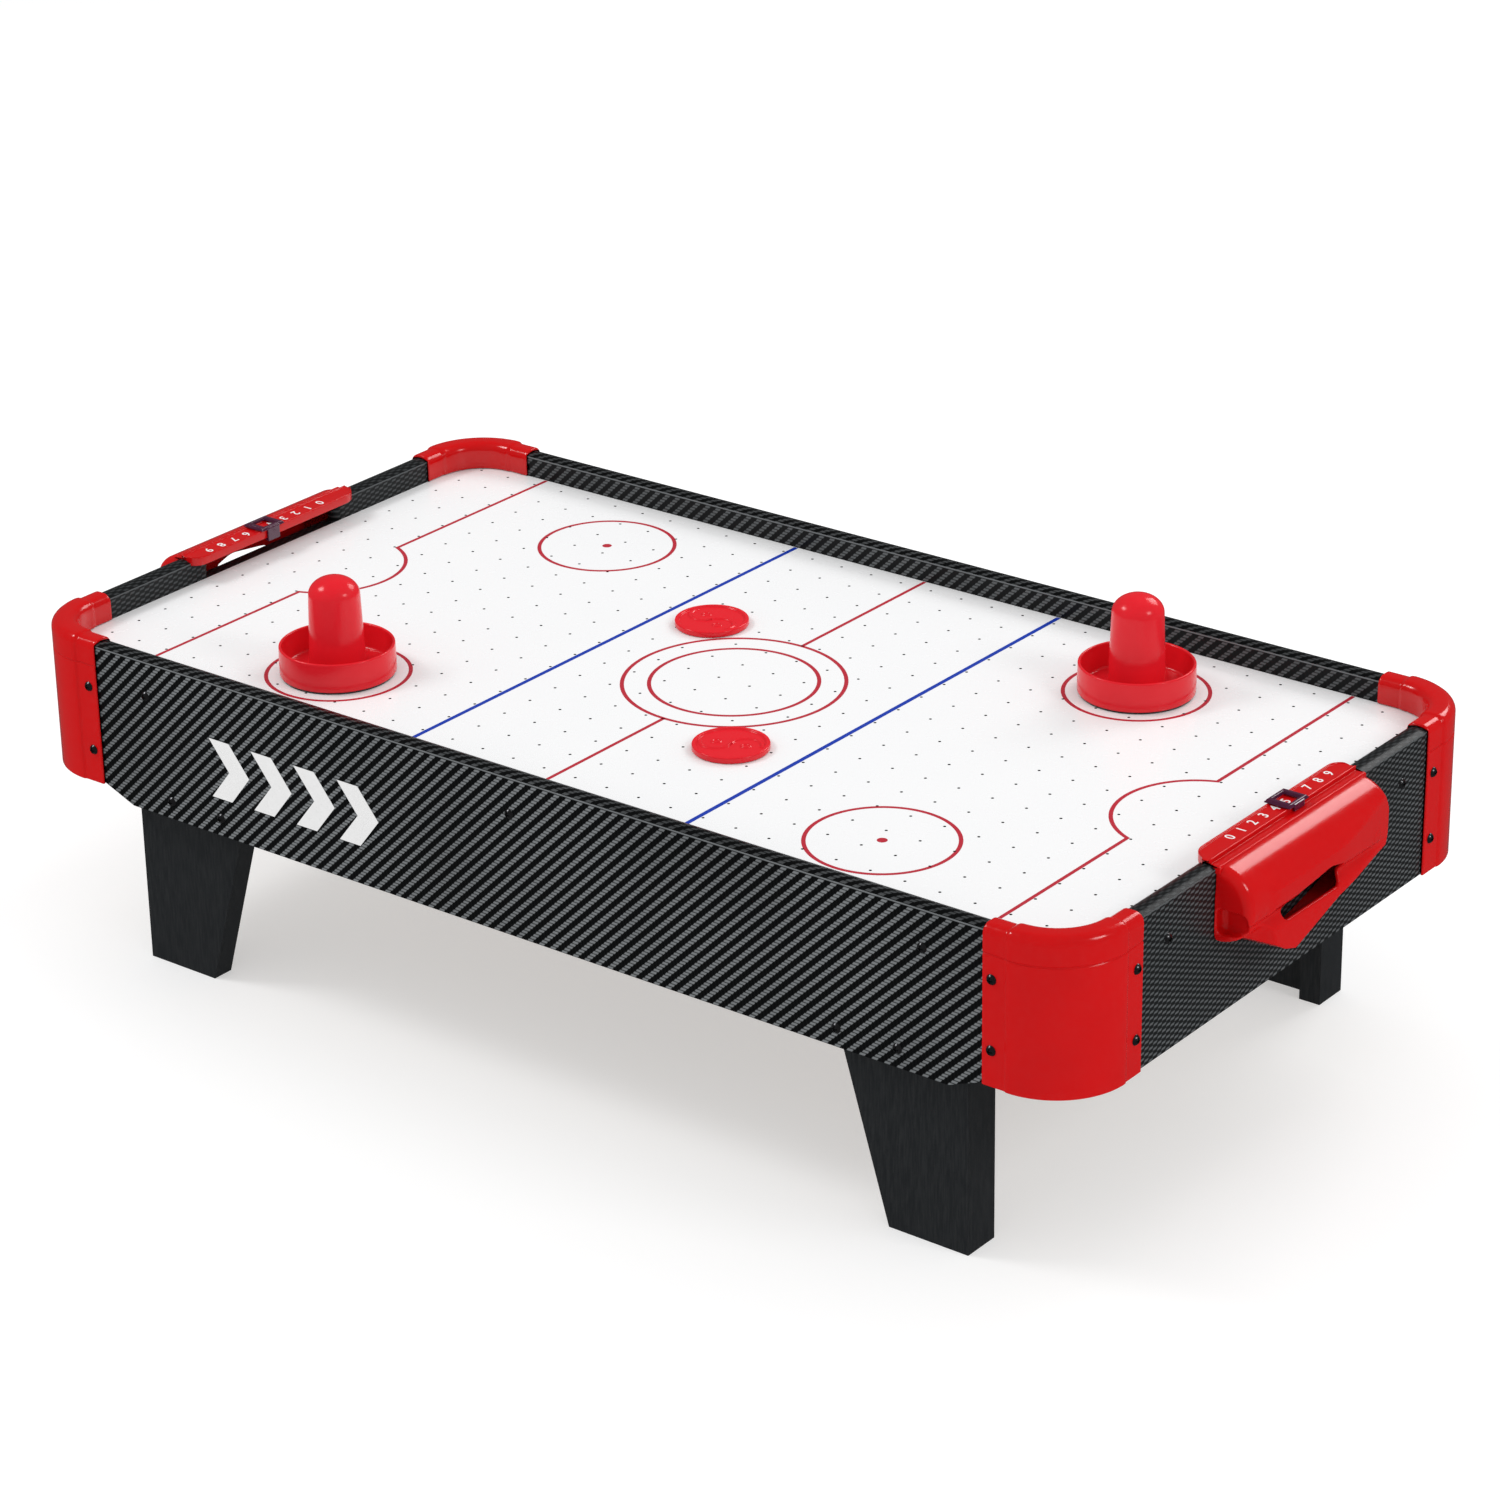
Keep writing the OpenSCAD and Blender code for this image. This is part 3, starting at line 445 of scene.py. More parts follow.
def rounded(corners, steps=5):
    """Closed outline from corners (x, y, radius), each rounded by an arc of its radius."""
    points = []
    count = len(corners)
    for i, (x, y, r) in enumerate(corners):
        here = np.array((x, y), float)
        if r <= 0:
            points.append(tuple(here))
            continue
        a = np.array(corners[i - 1][:2], float) - here
        b = np.array(corners[(i + 1) % count][:2], float) - here
        reach_a, reach_b = np.linalg.norm(a), np.linalg.norm(b)
        a, b = a / reach_a, b / reach_b
        half = math.acos(max(-1, min(1, float(a @ b)))) / 2
        back = min(r / math.tan(half), 0.49 * reach_a, 0.49 * reach_b)
        r = back * math.tan(half)
        middle = here + (a + b) / np.linalg.norm(a + b) * r / math.sin(half)
        start, end = here + a * back - middle, here + b * back - middle
        turn = math.atan2(start[0] * end[1] - start[1] * end[0], float(start @ end))
        for k in range(steps + 1):
            c, s = math.cos(turn * k / steps), math.sin(turn * k / steps)
            points.append((middle[0] + c * start[0] - s * start[1], middle[1] + s * start[0] + c * start[1]))
    return points


def inset(outline, amount):
    """The closed outline moved inwards by amount, for an outline that runs anticlockwise."""
    p = np.asarray(outline, float)
    ahead = np.roll(p, -1, 0) - p
    ahead /= np.linalg.norm(ahead, axis=1)[:, None] + 1e-9
    left = np.stack([-ahead[:, 1], ahead[:, 0]], 1)
    corner = left + np.roll(left, 1, 0)
    corner /= np.linalg.norm(corner, axis=1)[:, None] + 1e-9
    share = np.clip((corner * left).sum(1), 0.5, 1)
    return p + corner * (amount / share)[:, None]


def skin(rings, close_ends=True, close_loop=False):
    """Mesh through rings of equally many points. Each ring runs anticlockwise seen from the far end."""
    count, size = len(rings), len(rings[0])
    vertices = [tuple(p) for ring in rings for p in ring]
    faces = []
    for i in range(count if close_loop else count - 1):
        a, b = i * size, (i + 1) % count * size
        for k in range(size):
            n = (k + 1) % size
            faces.append((a + k, a + n, b + n, b + k))
    if close_ends and not close_loop:
        faces.append(tuple(range(size))[::-1])
        faces.append(tuple((count - 1) * size + k for k in range(size)))
    return vertices, faces


def lathe(profile, segments=128):
    """Turned solid from an open profile of (radius, z) that starts and ends on the axis, top end first."""
    vertices, rows = [], []
    for r, z in profile:
        if r < 1e-6:
            rows.append([len(vertices)])
            vertices.append((0, 0, z))
        else:
            rows.append(list(range(len(vertices), len(vertices) + segments)))
            for k in range(segments):
                a = 2 * math.pi * k / segments
                vertices.append((r * math.cos(a), r * math.sin(a), z))
    faces = []
    for upper, lower in zip(rows, rows[1:]):
        for k in range(segments):
            n = (k + 1) % segments
            if len(upper) == 1:
                faces.append((upper[0], lower[k], lower[n]))
            elif len(lower) == 1:
                faces.append((upper[k], lower[0], upper[n]))
            else:
                faces.append((upper[k], lower[k], lower[n], upper[n]))
    return vertices, faces


# Solids drawn as distance fields: negative inside, positive outside

def smooth_min(a, b, k):
    h = np.clip(0.5 + 0.5 * (b - a) / k, 0, 1)
    return b + (a - b) * h - k * h * (1 - h)


def smooth_max(a, b, k):
    return -smooth_min(-a, -b, k)


def box_field(x, y, z, centre, half, r):
    """Box with rounded edges."""
    q = [np.abs(p - c) - (h - r) for p, c, h in zip((x, y, z), centre, half)]
    outside = np.sqrt(sum(np.maximum(p, 0) ** 2 for p in q))
    return outside + np.minimum(np.maximum(np.maximum(q[0], q[1]), q[2]), 0) - r


def polygon_field(x, y, corners):
    """Closed polygon in a plane. A corner's coordinates may be arrays, for an outline that changes."""
    nearest, inside = None, False
    for (ax, ay), (bx, by) in zip(corners, corners[1:] + corners[:1]):
        ex, ey = bx - ax, by - ay
        px, py = x - ax, y - ay
        t = np.clip((px * ex + py * ey) / (ex * ex + ey * ey + 1e-9), 0, 1)
        d = (px - ex * t) ** 2 + (py - ey * t) ** 2
        nearest = d if nearest is None else np.minimum(nearest, d)
        rise = np.where(np.abs(ey) < 1e-9, 1e-9, ey)
        inside = inside ^ (((ay <= y) != (by <= y)) & (px < ex * py / rise))
    return np.where(inside, -1.0, 1.0) * np.sqrt(nearest)


def slope(field, points, reach=0.05):
    """Gradient of a field at points."""
    columns = []
    for axis in range(3):
        step = np.zeros(3)
        step[axis] = reach
        columns.append((field(*(points + step).T) - field(*(points - step).T)) / (2 * reach))
    return np.stack(columns, 1)


def surface(field, lowest, highest, step):
    """Closed quad mesh of the surface where the field is zero, and its normals.

    Each grid cell that the surface crosses gets one vertex, and each grid edge that it crosses one face.
    The vertices then slide along the gradient onto the surface itself.
    """
    axes = [np.arange(a, b + step, step) for a, b in zip(lowest, highest)]
    x, y, z = np.meshgrid(*axes, indexing="ij", sparse=True)
    values = np.array(np.broadcast_to(field(x, y, z), [len(a) for a in axes]))
    cells = [n - 1 for n in values.shape]
    total, count = np.zeros((*cells, 3)), np.zeros(cells)
    crossed = []
    for axis in range(3):
        start = tuple(slice(None, -1) if i == axis else slice(None) for i in range(3))
        end = tuple(slice(1, None) if i == axis else slice(None) for i in range(3))
        a, b = values[start], values[end]
        hit = (a < 0) != (b < 0)
        index = np.argwhere(hit)
        point = index.astype(float)
        point[:, axis] += a[hit] / (a[hit] - b[hit])
        first, second = [i for i in range(3) if i != axis]
        ring = []
        for move in ((1, 1), (0, 1), (0, 0), (1, 0)):
            cell = index.copy()
            cell[:, first] -= move[0]
            cell[:, second] -= move[1]
            np.add.at(total, tuple(cell.T), point)
            np.add.at(count, tuple(cell.T), 1)
            ring.append(cell)
        crossed.append((ring, (a[hit] < 0) != (axis == 1)))
    used = count > 0
    number = np.full(cells, -1)
    number[used] = np.arange(used.sum())
    points = np.array(lowest) + step * total[used] / count[used][:, None]
    faces = []
    for ring, forward in crossed:
        quad = np.stack([number[tuple(cell.T)] for cell in ring], 1)
        quad[~forward] = quad[~forward][:, ::-1]
        faces.extend(quad.tolist())
    for _ in range(5):
        gradient = slope(field, points)
        move = gradient * (field(*points.T) / np.maximum((gradient ** 2).sum(1), 0.2))[:, None]
        points -= np.clip(move, -0.4 * step, 0.4 * step)
    normals = slope(field, points, 0.3)
    normals /= np.linalg.norm(normals, axis=1)[:, None] + 1e-9
    return (points, faces), normals


# ---------------------------------------------------------------- printed field

INK_TOP = 0.06
LINE_W = 2.6
BLUE_W = 3.2
BLUE_X = 106.3
GOAL_X = 325.6
CREASE_R = 52.0
CREASE_HALF = 48.5
SPOT = (0.5 * (low("pusher_right") + high("pusher_right"))).xy
SPOT_R = 45.6
SPOT_DOT_R = 3.2
CENTRE_R = (53.3, 70.3)


def strip(path, width, closed=False):
    """Flat printed line along a path of (x, y)."""
    p = np.asarray(path, float)
    ahead = np.roll(p, -1, 0) - p
    back = p - np.roll(p, 1, 0)
    if not closed:
        ahead[-1], back[0] = back[-1], ahead[0]
    ahead /= np.linalg.norm(ahead, axis=1)[:, None]
    back /= np.linalg.norm(back, axis=1)[:, None]
    side = np.stack([-(ahead + back)[:, 1], (ahead + back)[:, 0]], 1)
    side /= np.linalg.norm(side, axis=1)[:, None]
    share = (side * np.stack([-ahead[:, 1], ahead[:, 0]], 1)).sum(1)
    half = side * (width / 2 / share)[:, None]
    top, bottom = PLAY_Z + INK_TOP, PLAY_Z - INK_TOP
    rings = []
    for at, off in zip(p, half):
        right, left = at - off, at + off
        rings.append([(*right, bottom), (*left, bottom), (*left, top), (*right, top)])
    return skin(rings, close_loop=closed)


def circle_path(centre, r, count=144):
    turns = [2 * math.pi * k / count for k in range(count)]
    return [(centre[0] + r * math.cos(a), centre[1] + r * math.sin(a)) for a in turns]


def crease_path(side):
    """Goal line with its round crease, at the right when side is 1."""
    middle = GOAL_X + math.sqrt(CREASE_R ** 2 - CREASE_HALF ** 2)
    start = math.asin(CREASE_HALF / CREASE_R)
    steps = 48
    path = [(side * GOAL_X, -FIELD_Y + 0.5)]
    for k in range(steps + 1):
        a = -start + 2 * start * k / steps
        path.append((side * (middle - CREASE_R * math.cos(a)), CREASE_R * math.sin(a)))
    return path + [(side * GOAL_X, FIELD_Y - 0.5)]


def dot(centre, r):
    top, bottom = PLAY_Z + INK_TOP, PLAY_Z - INK_TOP
    rings = [[(*p, z) for p in circle_path(centre, r, 48)] for z in (bottom, top)]
    return skin(rings)


def field_lines():
    edge = FIELD_Y - 0.5
    lines = [strip([(0, s * CENTRE_R[1]), (0, s * edge)], LINE_W) for s in (-1, 1)]
    lines += [strip(circle_path((0, 0), r), LINE_W, True) for r in CENTRE_R]
    lines += [strip(crease_path(s), LINE_W) for s in (-1, 1)]
    for sx in (-1, 1):
        for sy in (-1, 1):
            spot = (sx * SPOT.x, sy * SPOT.y)
            lines.append(strip(circle_path(spot, SPOT_R), LINE_W, True))
            lines.append(dot(spot, SPOT_DOT_R))
    piece("field_lines_red", joined(*lines), INK_RED, "table", smooth=False)
    blue = [strip([(s * BLUE_X, -edge), (s * BLUE_X, edge)], BLUE_W) for s in (-1, 1)]
    piece("field_lines_blue", joined(*blue), INK_BLUE, "table", smooth=False)


def chevrons():
    """Four plain arrowheads printed on the front board, in place of its lettering."""
    size, weight, pitch, count = 20.0, 17.0, 36.0, 4
    at_x, at_z = -247.0, 160.0
    face, skin_t = -SIDE_Y, 0.12
    marks = []
    for i in range(count):
        x = at_x + i * pitch
        outline = [(x, at_z - size), (x + weight, at_z - size), (x + weight + size * 0.8, at_z),
                   (x + weight, at_z + size), (x, at_z + size), (x + size * 0.8, at_z)]
        rings = [[(px, y, pz) for px, pz in outline] for y in (face + skin_t, face - skin_t)]
        marks.append(skin(rings))
    piece("board_chevrons", joined(*marks), INK_WHITE, "table", smooth=False)


# ---------------------------------------------------------------- corner caps

def cap_outline(proud):
    """Section of a cap: x is outwards from the middle of the board, y the height. Anticlockwise."""
    half = BOARD_T / 2
    outer, clear = half + proud, half + 0.2
    top, skirt, crown = RAIL_TOP + proud, PLAY_Z + 0.4, RAIL_TOP - 1.4
    seam, cut = RAIL_TOP - 15, 0.45
    return rounded([
        (outer, CAP_Z, 0.9), (outer, seam - 0.8, 0.3), (outer - cut, seam - 0.3, 0),
        (outer - cut, seam + 0.3, 0), (outer, seam + 0.8, 0.3), (outer, top, 6), (-outer, top, 6),
        (-outer, skirt, 0.9), (-clear, skirt, 0.4), (-clear, crown, 0.3), (0, RAIL_TOP + 0.2, 12),
        (clear, crown, 0.3), (clear, CAP_Z, 0.4),
    ], 6)


def cap_mesh():
    """Back right cap, swept along one board, round the corner and back along the other."""
    half = BOARD_T / 2
    corner = (END_X - CORNER_R, SIDE_Y - CORNER_R)
    straight = CAP_L - CORNER_R
    step_at, step_l, step_h = 15.0, 2.6, 0.9
    edge = 0.9
    bend_r = CORNER_R - half
    bend = bend_r * math.pi / 2
    total = 2 * straight + bend
    # Distances along the path where the section changes, from one end
    ends = [(edge * (1 - math.cos(t)), edge * (1 - math.sin(t))) for t in np.linspace(0, math.pi / 2, 5)]
    stops = [(s, i) for s, i in ends] + [(s, 0.0) for s in np.linspace(2, step_at - 0.5, 6)]
    stops += [(step_at + step_l * t, 0.0) for t in np.linspace(0, 1, 7)]
    stops += [(s, 0.0) for s in (straight - 0.01,) if s > step_at + step_l]
    middle = [(straight + bend * t, 0.0) for t in np.linspace(0, 1, 41)]
    first = [s for s in stops if s[0] < straight]
    stops = first + middle + [(total - s, i) for s, i in first[::-1]]
    rings = []
    for s, shrink in stops:
        from_end = min(s, total - s)
        rise = min(max((from_end - step_at) / step_l, 0), 1)
        proud = CAP_PROUD - step_h * (1 - rise * rise * (3 - 2 * rise))
        section = inset(cap_outline(proud), shrink)
        if s <= straight:
            at, out = (corner[0] - straight + s, corner[1] + bend_r), (0.0, 1.0)
        elif s >= total - straight:
            at, out = (corner[0] + bend_r, corner[1] - (s - straight - bend)), (1.0, 0.0)
        else:
            a = math.pi / 2 - (s - straight) / bend_r
            out = (math.cos(a), math.sin(a))
            at = (corner[0] + bend_r * out[0], corner[1] + bend_r * out[1])
        rings.append([(at[0] + d * out[0], at[1] + d * out[1], z) for d, z in section])
    return skin(rings)


def corner_caps():
    mesh = cap_mesh()
    for side_x, name_x in ((-1, "left"), (1, "right")):
        for side_y, name_y in ((-1, "front"), (1, "back")):
            turned = placed(mesh, Matrix.Diagonal((side_x, side_y, 1, 1)))
            made = piece(f"cap_{name_y}_{name_x}", turned, MATERIALS["red_plastic"], "table",
                         (f"corner_cap_{name_y}_{name_x}",))
            sharpen(made, 40)


def sharpen(made, degrees):
    """Keeps edges steeper than this angle crisp in the shading."""
    made.data.set_sharp_from_angle(angle=math.radians(degrees))


# ---------------------------------------------------------------- goal boxes

# The goal box's own frame: u outwards from the end board's face, v along it, w up from the drum's axis
DRUM_R = 24.0
DRUM_Z = RAIL_TOP - DRUM_R
BOX_HALF = 0.5 * (high("goal_box_right").y - low("goal_box_right").y)
LIP_U = high("goal_box_right").x - END_X
WALL = 2.5
# Outlines of the chute: against the board, and at its lip
CHUTE_BACK = [(-76, 4), (-77, -17), (-50, -33), (-18, -42), (10, -37), (79, -20), (79, 4)]
CHUTE_LIP = [(-50, 4), (-51, -30), (-41, -36), (-31, -39.5), (19, -25), (79, -16), (79, 4)]
# Pick-up hole: corners (v, w, radius) of a leaf with a flat foot along the lip
PICKUP = [(-45, -18.5, 2.5), (18, -19, 4), (25, -8, 5), (6, -3, 20), (-27, -7, 24)]
# The chute narrows towards its far end: its face stands FACE_U out at v = FACE_V, and FACE_SLOPE further
# out for each millimetre before that
FACE_U, FACE_V, FACE_SLOPE = 18.7, 80.0, 0.1153
# The wall over the lip sits back, so that the lip stands proud
SETBACK, SETBACK_W, SETBACK_SPAN = 5.5, -12.5, 5.2
# The lip leans back a little towards its top edge, up to LEAN_SPAN over its foot
LIP_FOOT_W, LIP_LEAN, LEAN_SPAN = -38.0, 0.09, 18
# The lean fades out over LEAN_FADE below LEAN_TOP_W, so the drum stays round
LEAN_TOP_W, LEAN_FADE = -8, 10
DRUM_EDGE_R = 6.0
# Blend of the drum into the chute: narrow at the foot and wider from BLEND_W up
BLEND_LEAST, BLEND_MORE, BLEND_W, BLEND_SPAN = 1.0, 8.0, -27, 14
POCKET_AT, POCKET_HALF, POCKET_R = (11, -BOX_HALF, -9.5), (9.5, 8, 8), 4
PICKUP_GROWTH = 1.0
PICKUP_FROM_U = 9
BOSS_V, BOSS_W, BOSS_R = 66, -8, 4
BACK_U = 0.3
SHELL_STEP = 0.65


def shell_field(u, v, w):
    """Drum with its chute, hollow towards the board, with the pick-up hole."""
    radial = np.sqrt(u * u + w * w) - (DRUM_R - DRUM_EDGE_R)
    end = np.abs(v) - (BOX_HALF - DRUM_EDGE_R)
    past = np.hypot(np.maximum(radial, 0), np.maximum(end, 0))
    drum = np.minimum(np.maximum(radial, end), 0) + past - DRUM_EDGE_R
    share = np.clip(u / LIP_U, -0.2, 1.1)
    corners = [(a[0] + share * (b[0] - a[0]), a[1] + share * (b[1] - a[1]))
               for a, b in zip(CHUTE_BACK, CHUTE_LIP)]
    lean = LIP_LEAN * np.clip(w - LIP_FOOT_W, 0, LEAN_SPAN) * np.clip((LEAN_TOP_W - w) / LEAN_FADE, 0, 1)
    front = u - (LIP_U - lean - SETBACK * np.exp(-((w - SETBACK_W) / SETBACK_SPAN) ** 2))
    face = u - (FACE_U + (FACE_V - v) * FACE_SLOPE)
    chute = smooth_max(polygon_field(v, w, corners), u - LIP_U, 1.2)
    blend = BLEND_LEAST + BLEND_MORE * np.clip((w - BLEND_W) / BLEND_SPAN, 0, 1)
    body = smooth_min(drum, chute, blend)
    body = smooth_max(smooth_max(body, front, 1.1), face, 1.2)
    pocket = box_field(u, v, w, POCKET_AT, POCKET_HALF, POCKET_R)
    body = smooth_max(body, -pocket, 2.0)
    hollow = body + WALL
    solid = smooth_max(body, BACK_U - u, 0.6)
    hole = np.maximum(polygon_field(v, w, rounded(PICKUP, 6)) - PICKUP_GROWTH, PICKUP_FROM_U - u)
    shell = smooth_max(solid, -hollow, 0.8)
    shell = smooth_max(shell, -hole, 1.0)
    for side in (-1, 1):
        boss = np.maximum(np.hypot(v - side * BOSS_V, w - BOSS_W) - BOSS_R, BACK_U - u)
        shell = smooth_min(shell, np.maximum(boss, body), 0.8)
    return shell


LEDGE_IN = low("goal_box_right").x - END_X
LEDGE_OUT = -4.0
LEDGE_W = 27.0
BAND_W = LEDGE_W - 0.6
APRON_U, APRON_W, APRON_TOP_W = 3.2, 19.5, 24.6
LEDGE_NEAR_R, LEDGE_FAR_R, LEDGE_EDGE = 15.0, 9.0, 0.8
LEDGE_BITE = 0.62


def ledge_mesh():
    """Score ledge with its raised edges, apron and groove."""
    inner, outer = LEDGE_IN, LEDGE_OUT
    under = RAIL_TOP + 0.4 - DRUM_Z
    apron = RAIL_TOP - 3 - DRUM_Z
    groove = RAIL_TOP + 0.12 - DRUM_Z
    outline = rounded([
        (inner, apron, 0.5), (inner + 2.4, apron, 0.5), (inner + 2.4, under, 0.4),
        (outer - 2.2, under, 0.4), (outer - 2.2, APRON_W, 0), (APRON_U, APRON_W, 0),
        (APRON_U, 23.6, 0.3), (2.4, APRON_TOP_W, 0.5), (0.9, APRON_TOP_W, 0.5),
        (0.6, groove, 0.1), (outer, groove, 0.3), (outer, LEDGE_W, 0.5), (outer - 1.3, LEDGE_W, 0.5),
        (outer - 1.7, BAND_W, 0.3), (inner + 1.9, BAND_W, 0.3), (inner + 1.5, LEDGE_W, 0.5),
        (inner, LEDGE_W, 1.2),
    ], 4)
    near_r, far_r, edge = LEDGE_NEAR_R, LEDGE_FAR_R, LEDGE_EDGE
    # Stations along v: rounded ends, and closer together where the inner corners turn
    offs = [edge * (1 - math.cos(t)) for t in np.linspace(0, math.pi / 2, 5)]
    near = [(-BOX_HALF + s, edge - math.sqrt(max(edge ** 2 - (edge - s) ** 2, 0))) for s in offs]
    near += [(-BOX_HALF + near_r * (1 - math.cos(t)), 0.0) for t in np.linspace(0.5, math.pi / 2, 12)]
    far = [(BOX_HALF - s, edge - math.sqrt(max(edge ** 2 - (edge - s) ** 2, 0))) for s in offs]
    far += [(BOX_HALF - far_r * (1 - math.cos(t)), 0.0) for t in np.linspace(0.5, math.pi / 2, 10)]
    rings = []
    for v, shrink in near + far[::-1]:
        from_near, from_far = v + BOX_HALF, BOX_HALF - v
        bite = near_r - math.sqrt(near_r ** 2 - max(near_r - from_near, 0) ** 2)
        bite += far_r - math.sqrt(far_r ** 2 - max(far_r - from_far, 0) ** 2)
        bite = min(bite, LEDGE_BITE * (outer - inner))
        squeeze = (outer - inner - bite) / (outer - inner)
        section = inset(outline, shrink)
        rings.append([(outer + (u - outer) * squeeze if u < outer else u, v, w) for u, w in section])
    vertices, faces = skin(rings)
    return vertices, [tuple(f)[::-1] for f in faces]


def end_place(side):
    """Puts the goal box's own frame at the right end (side 1) or, turned half round, at the left."""
    turn = Matrix.Rotation(0 if side > 0 else math.pi, 4, "Z")
    return turn @ Matrix.Translation((END_X, 0, DRUM_Z))


def goal_boxes():
    lowest, highest = (-1.2, -BOX_HALF - 2, -45), (LIP_U + 2, BOX_HALF + 2, 27)
    (points, faces), normals = surface(shell_field, lowest, highest, SHELL_STEP)
    ledge = ledge_mesh()
    for side, name in ((-1, "left"), (1, "right")):
        place = end_place(side)
        spin = np.array(place)[:3, :3]
        shell = placed((points, faces), place)
        piece(f"goal_shell_{name}", shell, MATERIALS["red_plastic"], "table",
              (f"goal_box_{name}",), normals @ spin.T)
        made = piece(f"score_ledge_{name}", placed(ledge, place), MATERIALS["red_plastic"], "table")
        sharpen(made, 35)


SCORE_U = -11.6
SCORE_ZERO = -46.0
SCORE_PITCH = 12.0
DIGIT_SIZE = 9.2
DIGIT_GROWTH = 0.1
DIGIT_EXTRUDE = 0.05
DIGIT_LIFT = 0.02
DIGIT_WELD = 0.001


def score_numbers():
    """White printed numbers 0 to 9 on each ledge, read from beyond the table's end."""
    for side, name in ((-1, "left"), (1, "right")):
        meshes = []
        for number in range(10):
            curve = bpy.data.curves.new(f"digit_{number}", "FONT")
            curve.body = str(number)
            curve.size = DIGIT_SIZE
            curve.align_x = "CENTER"
            curve.align_y = "CENTER"
            curve.offset = DIGIT_GROWTH
            curve.extrude = DIGIT_EXTRUDE
            curve.resolution_u = 6
            text = bpy.data.objects.new(f"digit_{number}", curve)
            bpy.context.scene.collection.objects.link(text)
            bpy.context.view_layer.update()
            flat = bpy.data.meshes.new_from_object(text)
            # The faces and the thin wall of a digit come unjoined
            weld = bmesh.new()
            weld.from_mesh(flat)
            bmesh.ops.remove_doubles(weld, verts=weld.verts, dist=DIGIT_WELD)
            bmesh.ops.dissolve_degenerate(weld, edges=weld.edges, dist=DIGIT_WELD)
            weld.to_mesh(flat)
            weld.free()
            points = [tuple(v.co) for v in flat.vertices]
            faces = [tuple(p.vertices) for p in flat.polygons]
            bpy.data.objects.remove(text)
            at = Matrix.Translation((SCORE_U, SCORE_ZERO + number * SCORE_PITCH, BAND_W + DIGIT_LIFT))
            read = Matrix.Rotation(math.pi / 2, 4, "Z")
            meshes.append(placed((points, faces), end_place(side) @ at @ read))
        piece(f"score_numbers_{name}", joined(*meshes), INK_WHITE, "table", smooth=False)


SLIDER_STEP = 0.32
FRAME_T, FRAME_HALF_Y = 2.0, 11
WINDOW_HALF = (5.2, 5.6)
WINDOW_FLARE = 0.4
BEVEL_FROM_Y, BEVEL_Y, BEVEL_X = 10.9, 0.9, 0.7
LEG_T, LEG_HALF_Y, HOOK_HALF_X = 1.6, 5.5, 1.4
SLIDER_BLEND = 0.4


def slider_field(x, y, z, lo, hi):
    """Saddle that rides on the ledge: a bevelled frame round a window, with a leg down each side."""
    cx, half_x = 0.5 * (lo.x + hi.x), 0.5 * (hi.x - lo.x)
    frame_low = hi.z - FRAME_T
    over = z - frame_low
    top = box_field(x, y, z, (cx, 0, frame_low + FRAME_T / 2), (half_x, FRAME_HALF_Y, FRAME_T / 2), 0.5)
    # Sides fall away from the top as a bevel
    bevel = np.maximum(np.abs(y) + over * BEVEL_Y - BEVEL_FROM_Y,
                       np.abs(x - cx) + over * BEVEL_X - half_x)
    top = smooth_max(top, bevel, SLIDER_BLEND)
    opening = np.maximum(np.abs(x - cx) - WINDOW_HALF[0] - over * WINDOW_FLARE,
                         np.abs(y) - WINDOW_HALF[1] - over * WINDOW_FLARE)
    top = smooth_max(top, -opening, SLIDER_BLEND)
    inner = box_field(x, y, z, (lo.x + LEG_T / 2, 0, 0.5 * (lo.z + hi.z) - 0.6),
                      (LEG_T / 2, LEG_HALF_Y, 0.5 * (hi.z - lo.z) - 0.6), 0.4)
    hook = box_field(x, y, z, (lo.x + HOOK_HALF_X, 0, lo.z + LEG_T / 2),
                     (HOOK_HALF_X, LEG_HALF_Y, LEG_T / 2), 0.3)
    outer_low = RAIL_TOP + 0.3
    outer = box_field(x, y, z, (hi.x - LEG_T / 2, 0, 0.5 * (outer_low + hi.z) - 0.4),
                      (LEG_T / 2, LEG_HALF_Y, 0.5 * (hi.z - outer_low) - 0.4), 0.4)
    return smooth_min(smooth_min(top, outer, SLIDER_BLEND), np.minimum(inner, hook), SLIDER_BLEND)


def score_sliders():
    for side, name in ((1, "right"), (-1, "left")):
        lo, hi = low(f"score_slider_{name}"), high(f"score_slider_{name}")
        at_y = 0.5 * (lo.y + hi.y)
        if side < 0:
            lo, hi = Vector((-hi.x, 0, lo.z)), Vector((-lo.x, 0, hi.z))

        def field(x, y, z, lo=lo, hi=hi):
            return slider_field(x, y, z, lo, hi)

        reach_y = FRAME_HALF_Y + 1
        lowest, highest = (lo.x - 1, -reach_y, lo.z - 1), (hi.x + 1, reach_y, hi.z + 1)
        mesh, normals = surface(field, lowest, highest, SLIDER_STEP)
        place = Matrix.Translation((0, at_y, 0)) @ Matrix.Rotation(0 if side > 0 else math.pi, 4, "Z")
        piece(f"slider_{name}", placed(mesh, place), MATERIALS["slider_plastic"], f"score_{name}",
              (f"score_slider_{name}",), normals @ np.array(place)[:3, :3].T)


# ---------------------------------------------------------------- pushers and pucks

def arc(centre, radii, start, end, count=10):
    """Points of an elliptic arc from start to end degrees."""
    turns = [math.radians(start + (end - start) * k / count) for k in range(count + 1)]
    return [(centre[0] + radii[0] * math.cos(t), centre[1] + radii[1] * math.sin(t)) for t in turns]


CUP_H = 19.0
KNOB_FOOT_R = 18.0
KNOB_TIP_R = 16.4
KNOB_DOME = 12.0


